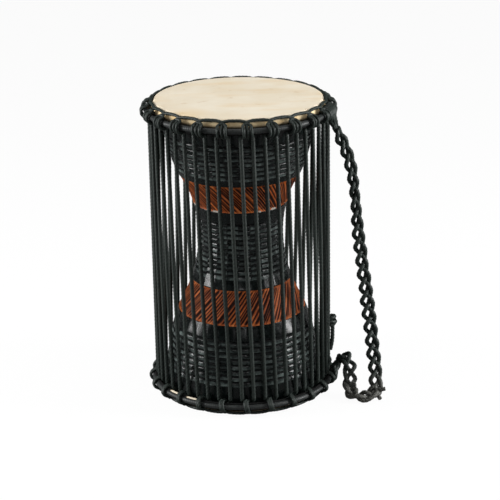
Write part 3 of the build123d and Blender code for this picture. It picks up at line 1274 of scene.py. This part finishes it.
    def _plait_tree(self) -> Tree:
        """Three ropes that cross over each other along the path, as in a loose flat plait.

        Returns:
            The tree.
        """
        extra = {
            "Repeat": ("Float", 0.041),
            "Half width": ("Float", 0.0045),
            "Half depth": ("Float", 0.002),
            "Skew": ("Float", 0.0024),
            "Tight at": ("Float", 0.2),
            "Unevenness": ("Float", 0.0),
            "Facing": ("Vector", (0.15, -0.8, 0.6)),
            "Finish": ("Material", None),
        }
        nodes, entry = self._open("plait_along_path", extra)
        inputs = {"Geometry": self._even(nodes, entry), "Amount": self.STRANDS}
        strands = nodes.add("GeometryNodeDuplicateElements", inputs, domain="SPLINE").outputs
        parameter = nodes.add("GeometryNodeSplineParameter").outputs
        position = nodes.geometry("InputPosition")
        turns = nodes.math("DIVIDE", parameter["Length"], entry["Repeat"])
        share = nodes.math("DIVIDE", strands["Duplicate Index"], float(self.STRANDS))
        phase = nodes.math("MULTIPLY", nodes.math("ADD", turns, share), TURN)
        # The plait's own directions: across its flat side, and out of it.
        tangent = nodes.geometry("InputTangent")
        lying = nodes.span(nodes.height_of(position), *self.LYING)
        facing = nodes.vector("ADD", entry["Facing"], nodes.scaled((0.0, 0.0, 1.0), lying))
        across = nodes.vector("NORMALIZE", nodes.vector("CROSS_PRODUCT", tangent, facing))
        outward = nodes.vector("CROSS_PRODUCT", across, tangent)
        # Each strand swings across once, and rises twice, in every repeat.
        swing = nodes.math("MULTIPLY", nodes.math("SINE", phase), entry["Half width"])
        flat = nodes.math("POWER", nodes.math("COSINE", phase), 2.0)
        swing = nodes.math("SUBTRACT", swing, nodes.math("MULTIPLY", flat, entry["Skew"]))
        along = parameter["Factor"]
        near_end = nodes.math("MINIMUM", along, nodes.math("SUBTRACT", 1.0, along))
        from_tight = nodes.math("ABSOLUTE", nodes.math("SUBTRACT", along, entry["Tight at"]))
        slack = nodes.span(along, *self.SLACK)
        slack = nodes.math("MULTIPLY", slack, nodes.span(from_tight, *self.TIGHT))
        width = nodes.math("MULTIPLY", nodes.span(near_end, *self.GATHERED), slack)
        side = nodes.scaled(across, nodes.math("MULTIPLY", swing, width))
        double = nodes.math("SINE", nodes.math("MULTIPLY", phase, 2.0))
        rise = nodes.scaled(outward, nodes.math("MULTIPLY", double, entry["Half depth"]))
        apart = nodes.vector("ADD", position, nodes.scaled((1.0, 1.0, 1.0), share))
        loose = self._jitter(nodes, apart, self.PLAIT_JITTER, entry["Unevenness"])
        offset = nodes.vector("ADD", nodes.vector("ADD", side, rise), loose)
        crossed = nodes.geometry("SetPosition", {"Geometry": strands[0], "Offset": offset})
        return self._laid(nodes, entry, crossed)

    @staticmethod
    def path(
        name: str,
        routes: list[list[Vector]],
        loops: tuple[int, ...] = (),
        stout: tuple[float, ...] = (),
    ) -> bpy.types.Object:
        """Curve object with one smooth spline through each route.

        Args:
            name: the object's name.
            routes: lists of points, in millimetres.
            loops: indices of the routes that close on themselves.
            stout: how thick each route's rope is, where not all are as thick as the rest.

        Returns:
            The curve object.
        """
        data = bpy.data.curves.new(name, "CURVE")
        data.dimensions = "3D"
        for number, route in enumerate(routes):
            spline = data.splines.new("BEZIER")
            spline.bezier_points.add(len(route) - 1)
            for knot, point in zip(spline.bezier_points, route):
                knot.co = point * MM
                knot.radius = stout[number] if stout else 1.0
                knot.handle_left_type = knot.handle_right_type = "AUTO"
            spline.use_cyclic_u = number in loops
            spline.resolution_u = 10
        return link(name, data)

    @staticmethod
    def run(
        name: str,
        curve: bpy.types.Object,
        tree: Tree,
        lay: RopeLay,
        finish: Finish = CORD,
        **values: object,
    ) -> Piece:
        """Run a tree on a path and keep its mesh.

        Args:
            name: the finished piece's name.
            curve: the path, which is removed.
            tree: the tree to run.
            lay: how the rope is laid.
            finish: the cord's finish.
            values: more inputs by name, with spaces as underscores.

        Returns:
            The rope as a mesh object.
        """
        modifier = curve.modifiers.new("rope", "NODES")
        modifier.node_group = tree
        named = {key.replace("_", " "): value for key, value in values.items()}
        named |= {**lay.inputs(), "Finish": finish.material()}
        for item in tree.interface.items_tree:
            if item.item_type == "SOCKET" and item.in_out == "INPUT" and item.name in named:
                modifier[item.identifier] = named[item.name]
        mesh = evaluated_mesh(curve)
        mesh.name = name
        data = curve.data
        curve.modifiers.remove(modifier)
        bpy.data.objects.remove(curve)
        bpy.data.curves.remove(data)
        return place_piece(name, mesh)


@dataclass
class CradleRope(Assembly):
    """The rope wound round a hoop: a loop over the hoop at each hitch, and a span to the next.

    Points of a route are a radius, a share and a depth. The share is of the hitch's lean on the
    loop and the core, and of the step to the next hitch on the span. Arcs are angles about the
    hoop's wire, each with its share.
    """

    end: End
    walk: RopeWalk
    lay: RopeLay = RopeLay(1.7, 0.0105, 0.055, 0.0012)
    stoutness: tuple[float, float, float] = (1.42, 1.0, 1.25)
    unevenness: float = 0.0008
    lean: Pair = Pair(0.9, 2.4)
    standoff: Pair = Pair(0.05, -0.5)
    half_gap: Pair = Pair(3.8, 1.1)
    leg_foot: tuple[Point, ...] = ((88.9, 0.5, 16.4), (92.2, 0.9, 16.4))
    leg_arc: tuple[tuple[int, float], ...] = ((-52, 1.0), (-18, 0.8), (16, 0.55), (50, 0.3))
    leg_head: Point = (91.9, 0.1, 5.2)
    crown: Point = (90.5, 0.0, 3.7)
    heel: Point = (85.4, 0.0, 14.3)
    core_standoff: float = 0.3
    core_head: tuple[Point, ...] = ((88.6, 0.0, 7.4), (90.2, 0.0, 5.7), (92.8, 0.1, 6.0))
    core_arc: tuple[tuple[int, float], ...] = ((20, 0.4), (-25, 0.8), (-60, 1.0))
    core_foot: Point = (90.4, 1.0, 17.4)
    span_depth: Pair = Pair(1.1, 1.95)
    span_half: tuple[Point, ...] = (
        (88.3, -0.04, 1.75), (88.3, 0.05, 1.15), (87.6, 0.22, 0.25), (87.4, 0.5, 0.0),
    )

    @staticmethod
    def arc(reach: float, angles: tuple[tuple[int, float], ...]) -> list[Point]:
        """Points about the hoop's wire.

        Args:
            reach: their distance from the wire's middle line.
            angles: their angles, each with its share of the lean.

        Returns:
            Radius, share and depth of each.
        """
        places = [(SIZES.round_hoop(reach, angle), share) for angle, share in angles]
        return [(radius, share, depth) for (radius, depth), share in places]

    def loop(self) -> list[Vector]:
        """One hitch, up over the hoop, across and down again beside itself.

        Returns:
            Its route at the first hitch's angle, in millimetres.
        """
        way = 1 if self.end is End.TOP else -1
        half, lean = self.half_gap.at(self.end), self.lean.at(self.end)
        rope = self.lay.radius * self.stoutness[0]
        reach = SIZES.hoop_radius + self.standoff.at(self.end) + rope
        leg = [*self.leg_foot, *self.arc(reach, self.leg_arc), self.leg_head]
        left = [(r, lean * share - half, d) for r, share, d in leg]
        right = [(r, lean * share + half, d) for r, share, d in leg]
        route = [*left, self.crown, *right[::-1], self.heel]
        return [Vector((r, way * s, SIZES.level(self.end, d))) for r, s, d in route]

    def core(self) -> list[Vector]:
        """The strand between the two legs of a hitch.

        Returns:
            Its route at the first hitch's angle, in millimetres.
        """
        lean = self.lean.at(self.end) if self.end is End.TOP else -self.lean.at(self.end)
        reach = SIZES.hoop_radius + self.core_standoff + self.lay.radius
        route = [*self.core_head, *self.arc(reach, self.core_arc), self.core_foot]
        return [Vector((r, lean * s, SIZES.level(self.end, d))) for r, s, d in route]

    def span(self) -> list[Vector]:
        """The rope along the skin, from behind one hitch to behind the next.

        Returns:
            Its route from the first hitch's angle, in millimetres.
        """
        route = [*self.span_half, *((r, 1 - share, d) for r, share, d in self.span_half[-2::-1])]
        start = self.span_depth.at(self.end)
        level = [SIZES.level(self.end, start + depth) for _, _, depth in route]
        return [polar(r, s * SIZES.hitch_step, z) for (r, s, _), z in zip(route, level)]

    def build(self) -> Piece:
        """Lay the rope for all hitches of one hoop.

        Returns:
            The rope, standing for its CAD node.
        """
        name = f"{self.end.value}_cradle"
        routes = [self.loop(), self.span(), self.core()]
        rope = self.walk.run(
            name,
            self.walk.path(f"{name}_path", routes, stout=self.stoutness),
            self.walk.wound,
            self.lay,
            Count=SIZES.hitch_count,
            First_angle=math.radians(SIZES.hitch_angle(self.end)),
            Unevenness=self.unevenness,
        )
        return self.dress(rope, Slot.ROPE, f"{name}_rope")


@dataclass
class Lacing(Assembly):
    """The long cord between the hoops: bights behind each hoop and straight runs between them.

    Points of a bight are a radius, an angle from its middle and a depth.
    """

    walk: RopeWalk
    lay: RopeLay = RopeLay(SIZES.cord_radius, 0.012, 0.05, 0.0014)
    runs_per_group: int = 3
    groups_per_side: int = 4
    first_run: int = 6
    sides: tuple[str, ...] = ("right", "back", "left", "front")
    bend_half_length: float = 34.0
    bow: float = 0.35
    bow_heights: tuple[float, float, float] = (80.0, 154.0, 228.0)
    bight_half: tuple[Point, ...] = (
        (SIZES.cord_circle, 3.75, SIZES.cord_end_depth),
        (SIZES.cord_circle - 0.2, 3.74, 18.0),
        (86.6, 3.45, 14.6),
        (85.5, 2.3, 11.2),
        (85.3, 0.0, 10.1),
    )

    def bights(self, end: End) -> Piece:
        """Lay the U turns behind one hoop.

        Args:
            end: which hoop.

        Returns:
            The bights, standing for their CAD node.
        """
        other = [(r, -angle, depth) for r, angle, depth in self.bight_half[-2::-1]]
        points = [*self.bight_half, *other]
        route = [polar(r, angle, SIZES.level(end, depth)) for r, angle, depth in points]
        bights = self.walk.run(
            f"{end.value}_bights",
            self.walk.path(f"{end.value}_bight_path", [route]),
            self.walk.wound,
            self.lay,
            Count=SIZES.hitch_count,
            First_angle=math.radians(SIZES.hitch_angle(end)),
        )
        return self.dress(bights, Slot.ROPE, f"{end.value}_lacing_bights")

    @staticmethod
    def run_point(run: int, z: float) -> Vector:
        """Point on the middle line of a run.

        Args:
            run: the run's number.
            z: the point's height, in millimetres.

        Returns:
            The point, in millimetres.
        """
        angle = SIZES.top_hitch_angle - SIZES.run_step / 2 + run * SIZES.run_step
        top = polar(SIZES.cord_circle, angle, SIZES.height - SIZES.cord_end_depth)
        bottom = polar(SIZES.cord_circle, angle + SIZES.cord_twist, SIZES.cord_end_depth)
        return top.lerp(bottom, (top.z - z) / (top.z - bottom.z))

    def run_route(self, run: int, draw: Draws) -> list[Vector]:
        """One run from hoop to hoop, bowed a little to one side or the other.

        Args:
            run: the run's number.
            draw: random numbers for its bow.

        Returns:
            Its route from the bottom up, in millimetres.
        """
        low, high = SIZES.cord_end_depth, SIZES.height - SIZES.cord_end_depth
        route = [self.run_point(run, z) for z in (low, *self.bow_heights, high)]
        sway = [0.0, *draw.uniform(-self.bow, self.bow, len(self.bow_heights)), 0.0]
        around = Vector((-route[0].y, route[0].x, 0.0)).normalized()
        return [point + around * aside for point, aside in zip(route, sway)]

    def runs(self) -> list[Piece]:
        """Lay the runs, one piece for each group.

        Returns:
            The groups of runs, each standing for its two CAD nodes.
        """
        draw = np.random.default_rng(SEED + 3)
        made = []
        for group in range(2 * SIZES.hitch_count // self.runs_per_group):
            side, place = divmod(group, self.groups_per_side)
            name = f"{self.sides[side]}_cords_{place + 1}"
            halves = (f"{name}_upper", f"{name}_lower")
            first = self.first_run + group * self.runs_per_group
            numbers = range(first, first + self.runs_per_group)
            curve = self.walk.path(f"{name}_path", [self.run_route(n, draw) for n in numbers])
            cords = self.walk.run(f"{name}_laid", curve, self.walk.single, self.lay)
            self.dress(cords, Slot.ROPE, *halves, body=None)
            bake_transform(cords)
            made.append(cords)
        return made


@dataclass
class Knots(Assembly):
    """Rope knots: one on the lacing, and those that the strap asks for.

    Turns of the tie-off are a height, a size and a tip, and points of its tail a drop, a distance
    outward and a distance to the side.
    """

    walk: RopeWalk
    lay: RopeLay = RopeLay(2.3, 0.0105, 0.06, 0.0011)
    tie_run: int = 11
    tie_height: float = 68.0
    tie_out: float = 2.6
    tie_turns: tuple[Point, ...] = ((-3.6, 3.7, 0.9), (0.0, 4.6, -1.2), (3.4, 3.8, 0.8))
    tie_points: int = 10
    tie_tail: tuple[Point, ...] = (
        (-2.0, 2.0, 1.0), (-12.0, 1.9, 1.2), (-22.0, 1.6, 0.8), (-33.0, -0.4, 0.2),
    )
    trefoil_points: int = 24

    def trefoil(self, centre: Vector, size: float, turn: Euler, thickness: float) -> list[Vector]:
        """Closed route of an overhand knot.

        Args:
            centre: middle of the knot, in millimetres.
            size: how far its rope's middle line reaches from the centre.
            turn: how the knot is turned.
            thickness: its thickness, as a share of the plain knot's.

        Returns:
            Points along the closed route.
        """
        matrix = turn.to_matrix()
        route = []
        for step in range(self.trefoil_points):
            t = step * TURN / self.trefoil_points
            x, y = math.sin(t) + 2 * math.sin(2 * t), math.cos(t) - 2 * math.cos(2 * t)
            knot = Vector((x, y, -math.sin(3 * t) * thickness))
            route.append(centre + matrix @ (knot * (size / 3.0)))
        return route

    def build(
        self,
        name: str,
        routes: list[list[Vector]],
        loops: tuple[int, ...],
        node: str,
        body: str = BODY,
        finish: Finish = CORD,
    ) -> Piece:
        """Lay a knot's rope.

        Args:
            name: the piece's name.
            routes: routes of the knot and its tails, in millimetres.
            loops: indices of the closed routes.
            node: CAD node that the knot stands for.
            body: the body that it rides on.
            finish: the cord's finish.

        Returns:
            The knot.
        """
        curve = self.walk.path(f"{name}_path", routes, loops)
        knot = self.walk.run(name, curve, self.walk.single, self.lay, finish)
        return self.dress(knot, Slot.ROPE, node, body=body)

    def tie_off(self) -> Piece:
        """Knot round a run of the right side, with its tail.

        Returns:
            The knot, standing for its CAD node.
        """
        heart = Lacing.run_point(self.tie_run, self.tie_height)
        outward = Vector((heart.x, heart.y, 0.0)).normalized()
        around = Vector((-outward.y, outward.x, 0.0))
        heart += outward * self.tie_out
        routes = []
        for level, size, tip in self.tie_turns:
            loop = []
            for step in range(self.tie_points):
                angle = step * TURN / self.tie_points
                out, aside = size * math.cos(angle), size * math.sin(angle)
                lift = Vector((0, 0, level + tip * math.cos(angle)))
                loop.append(heart + outward * out + around * aside + lift)
            routes.append(loop)
        tail = [
            heart + outward * out + around * aside + Vector((0, 0, drop))
            for drop, out, aside in self.tie_tail
        ]
        loops = tuple(range(len(routes)))
        return self.build("tie_off", [*routes, tail], loops, "tie_off_knot", "right_cords_2_lower")


@dataclass(frozen=True)
class StrapKnot:
    """A knot on the strap: its middle, size and turn, and points of its tails from its middle."""

    name: str
    heart: Point
    size: float
    turn: Point
    tails: tuple[tuple[Point, ...], ...]
    thickness: float = 1.3


@dataclass
class Strap(Assembly):
    """The plaited strap, from the top hoop down to the floor and back to the bottom hoop.

    Each strand of a hitch has a distance to the side on the hoop, and a shift along X halfway to
    the plait. A hitch gathers by a share of that distance halfway, and by another at the plait.
    """

    walk: RopeWalk
    knots: Knots
    lay: RopeLay = RopeLay(2.45, 0.0105, 0.055, 0.0012)
    width: float = 14.8
    repeat: float = 43.0
    half_depth: float = 2.3
    skew: float = 1.7
    unevenness: float = 1.8
    route: tuple[Point, ...] = (
        (96.4, -27.0, 282.0), (101.4, -27.6, 270.0), (107.0, -28.6, 257.0),
        (111.6, -30.2, 240.0), (115.0, -32.0, 215.0), (117.4, -33.6, 184.0),
        (121.0, -35.4, 150.0), (126.0, -37.2, 115.0), (130.0, -38.6, 80.0),
        (133.6, -40.4, 48.0), (136.2, -43.0, 25.0), (136.4, -50.0, 10.0),
        (131.8, -57.2, 5.9), (122.0, -59.6, 5.5), (112.2, -53.4, 5.8),
        (109.4, -45.0, 9.6), (110.4, -37.0, 17.4), (111.0, -29.0, 27.0),
        (108.0, -20.6, 33.4), (103.6, -12.4, 32.6), (101.2, -6.6, 25.4),
    )
    floor_knot: StrapKnot = StrapKnot(
        "floor_knot",
        (136.2, -50.0, 8.4),
        5.6,
        (0.5, 0.9, 0.3),
        (
            ((2.0, -3.0, 2.0), (6.2, -3.8, 2.6), (9.4, -4.2, 3.2)),
            ((1.0, -4.0, -2.0), (2.6, -6.8, -4.0), (3.8, -9.4, -5.6)),
        ),
    )
    end_knot: StrapKnot = StrapKnot(
        "end_knot",
        (109.8, -45.0, 8.6),
        5.2,
        (1.2, 0.2, 0.8),
        (
            ((2.0, -2.0, 3.0), (4.0, -2.8, 5.4), (5.8, -3.2, 6.4)),
            ((2.0, -3.0, 1.0), (4.2, -4.2, 2.2), (6.2, -4.8, 2.2)),
        ),
    )
    hitch_angle: Pair = Pair(-17.0, -4.5)
    hitch_standoff: float = 0.2
    hitch_wrap: tuple[int, ...] = (160, 115, 70, 30, -10)
    hitch_strands: tuple[tuple[float, float], ...] = (
        (-7.4, -3.2), (-3.6, -0.6), (0.4, -4.2), (3.8, 1.0), (7.6, -2.4),
    )
    hitch_middle: float = 0.55
    hitch_gather: tuple[float, float] = (0.4, 0.5)

    def line(self) -> tuple[bpy.types.Object, list[Vector]]:
        """The middle line of the strap.

        Returns:
            The route as a smooth curve object, and points along it in metres.
        """
        data = bpy.data.curves.new("strap_route", "CURVE")
        data.dimensions = "3D"
        spline = data.splines.new("NURBS")
        spline.points.add(len(self.route) - 1)
        for knot, place in zip(spline.points, self.route):
            knot.co = (*(Vector(place) * MM), 1.0)
        spline.order_u = 3
        spline.use_endpoint_u = True
        spline.resolution_u = 12
        curve = link("strap_route", data)
        mesh = evaluated_mesh(curve)
        points = [vertex.co.copy() for vertex in mesh.vertices]
        bpy.data.meshes.remove(mesh)
        return curve, points

    def build(self) -> list[Piece]:
        """Plait the strap and tie its hitches and knots.

        Returns:
            The strap and the pieces on it.
        """
        curve, points = self.line()
        strap = self.walk.run(
            "strap_plait",
            curve,
            self.walk.plait,
            self.lay,
            STRAP_CORD,
            Repeat=self.repeat * MM,
            Half_width=(self.width / 2 - self.lay.radius) * MM,
            Half_depth=self.half_depth * MM,
            Skew=self.skew * MM,
            Unevenness=self.unevenness * MM,
        )
        self.dress(strap, Slot.ROPE, "strap")
        floor_knot, end_knot = self.knot(self.floor_knot), self.knot(self.end_knot)
        ends = ((End.TOP, points[0]), (End.BOTTOM, points[-1]))
        hitches = [self.hitch(end, point / MM) for end, point in ends]
        return [strap, floor_knot, end_knot, *hitches]

    def knot(self, knot: StrapKnot) -> Piece:
        """Tie one knot of the strap, with its tails.

        Args:
            knot: which knot.

        Returns:
            The knot, standing for its CAD node.
        """
        heart = Vector(knot.heart)
        body = self.knots.trefoil(heart, knot.size, Euler(knot.turn), knot.thickness)
        tails = [[heart + Vector(point) for point in tail] for tail in knot.tails]
        node = f"strap_{knot.name}"
        return self.knots.build(knot.name, [body, *tails], (0,), node, finish=STRAP_CORD)

    def hitch(self, end: End, plait_end: Vector) -> Piece:
        """Ropes over the hoop that carry one end of the plait.

        Args:
            end: which hoop.
            plait_end: end of the plait, in millimetres.

        Returns:
            The hitch, standing for its CAD node.
        """
        reach = SIZES.hoop_radius + self.lay.radius + self.hitch_standoff
        angle = self.hitch_angle.at(end)
        across = polar(1.0, angle + 90, 0.0)
        drawn_in, spread = self.hitch_gather
        routes = []
        for aside, near in self.hitch_strands:
            route = []
            for wrap in self.hitch_wrap:
                radius, depth = SIZES.round_hoop(reach, wrap)
                turn = angle + math.degrees(aside / radius)
                route.append(polar(radius, turn, SIZES.level(end, depth)))
            middle = route[-1].lerp(plait_end, self.hitch_middle)
            route.append(middle - across * (aside * drawn_in) + Vector((near, 0, 0)))
            route.append(plait_end + across * (aside * spread))
            routes.append(route)
        node = f"strap_{end.value}_hitch"
        return self.knots.build(f"{end.value}_strap_hitch", routes, (), node)


@dataclass(frozen=True)
class Softbox:
    """One soft lamp: its place and aim in metres, its size and its power in watts."""

    name: str
    place: Point
    aim: Point
    width: float
    height: float
    power: float


@dataclass
class Studio:
    """Camera, floor and soft light, in metres and degrees."""

    distance: float = 1.8486
    elevation: float = 18.935
    tilt: float = 0.2395
    roll: float = -0.938
    aside: float = 0.0092
    lens: float = 129.45
    sensor: float = 36.0
    far: float = 50.0
    floor_reach: float = 6.0
    floor_z: float = -0.0003
    floor_color: Color = (0.26, 0.26, 0.26)
    floor_seen: Color = (0.9, 0.9, 0.9)
    floor_glow: float = 0.955
    room_light: float = 0.015
    softboxes: tuple[Softbox, ...] = (
        Softbox("left", (-1.3, -0.2, 0.5), (0.0, 0.0, 0.16), 0.38, 0.88, 26.0),
        Softbox("right", (1.3, -0.2, 0.5), (0.0, 0.0, 0.16), 0.38, 0.88, 28.0),
        Softbox("top", (0.0, 0.1, 1.6), (0.0, 0.0, 0.3), 1.0, 1.0, 8.7),
        Softbox("front", (0.15, -2.2, 1.25), (0.0, 0.0, 0.16), 0.3, 0.6, 10.0),
    )

    def camera(self) -> None:
        """Stand the camera where the photograph was taken from."""
        data = bpy.data.cameras.new("camera")
        data.lens = self.lens
        data.sensor_width = self.sensor
        data.clip_end = self.far
        camera = link("camera", data)
        rise = math.radians(self.elevation)
        back, up = self.distance * math.cos(rise), self.distance * math.sin(rise)
        camera.location = (self.aside, -back, SIZES.height * MM / 2 + up)
        look = Matrix.Rotation(math.radians(90 - self.elevation - self.tilt), 3, "X")
        roll = Matrix.Rotation(math.radians(self.roll), 3, "Z")
        camera.rotation_euler = (look @ roll).to_euler()
        bpy.context.scene.camera = camera

    def floor(self) -> None:
        """Lay a pale floor that runs out of sight."""
        mesh = bpy.data.meshes.new("floor")
        signs = ((-1, -1), (1, -1), (1, 1), (-1, 1))
        corners = [(x * self.floor_reach, y * self.floor_reach, self.floor_z) for x, y in signs]
        mesh.from_pydata(corners, [], [(0, 1, 2, 3)])
        floor = link("floor", mesh)
        material = bpy.data.materials.new("floor")
        material.use_nodes = True
        nodes = NodeTree(material.node_tree)
        seen = nodes.add("ShaderNodeLightPath").outputs["Is Camera Ray"]
        color = nodes.blend(seen, self.floor_color, self.floor_seen)
        diffuse = nodes.add("ShaderNodeBsdfDiffuse", {"Color": color})
        glow = nodes.add("ShaderNodeEmission", {"Color": WHITE, "Strength": 1.0})
        share = nodes.math("MULTIPLY", seen, self.floor_glow)
        inputs = {0: share, 1: diffuse.outputs[0], 2: glow.outputs[0]}
        mixed = nodes.add("ShaderNodeMixShader", inputs)
        nodes.add("ShaderNodeOutputMaterial", {"Surface": mixed.outputs[0]})
        mesh.materials.append(material)

    def light(self) -> None:
        """Set up the softboxes and a white room that the camera sees as the background."""
        for box in self.softboxes:
            data = bpy.data.lights.new(f"{box.name}_softbox", "AREA")
            data.shape = "RECTANGLE"
            data.size = box.width
            data.size_y = box.height
            data.energy = box.power
            lamp = link(data.name, data)
            lamp.location = box.place
            aim = Vector(box.aim) - Vector(box.place)
            lamp.rotation_euler = aim.to_track_quat("-Z", "Y").to_euler()
        world = bpy.data.worlds.new("room")
        world.use_nodes = True
        nodes = NodeTree(world.node_tree)
        seen = nodes.add("ShaderNodeLightPath").outputs["Is Camera Ray"]
        strength = nodes.span(seen, 0.0, 1.0, self.room_light, 1.0)
        sky = nodes.add("ShaderNodeBackground", {"Color": WHITE, "Strength": strength})
        nodes.add("ShaderNodeOutputWorld", {"Surface": sky.outputs[0]})
        bpy.context.scene.world = world

    def build(self) -> None:
        """Set up the whole studio."""
        bpy.context.scene.view_settings.view_transform = "Standard"
        self.camera()
        self.floor()
        self.light()


def main() -> None:
    """Build the drum's pieces in order and report each one."""
    logging.basicConfig(level=logging.INFO, format="%(message)s")
    Studio().build()
    walk = RopeWalk()
    knots = Knots(walk)
    lacing = Lacing(walk)
    pieces = Strap(walk, knots).build()
    pieces.append(CarvedShell().build())
    for end in End:
        pieces += [Head(end).build(), Hoop(end).build()]
        pieces += [CradleRope(end, walk).build(), lacing.bights(end)]
    pieces += lacing.runs()
    pieces.append(knots.tie_off())
    for piece in pieces:
        LOG.info("%s: %d faces", piece.name, len(piece.data.polygons))


if __name__ == "__main__":
    main()
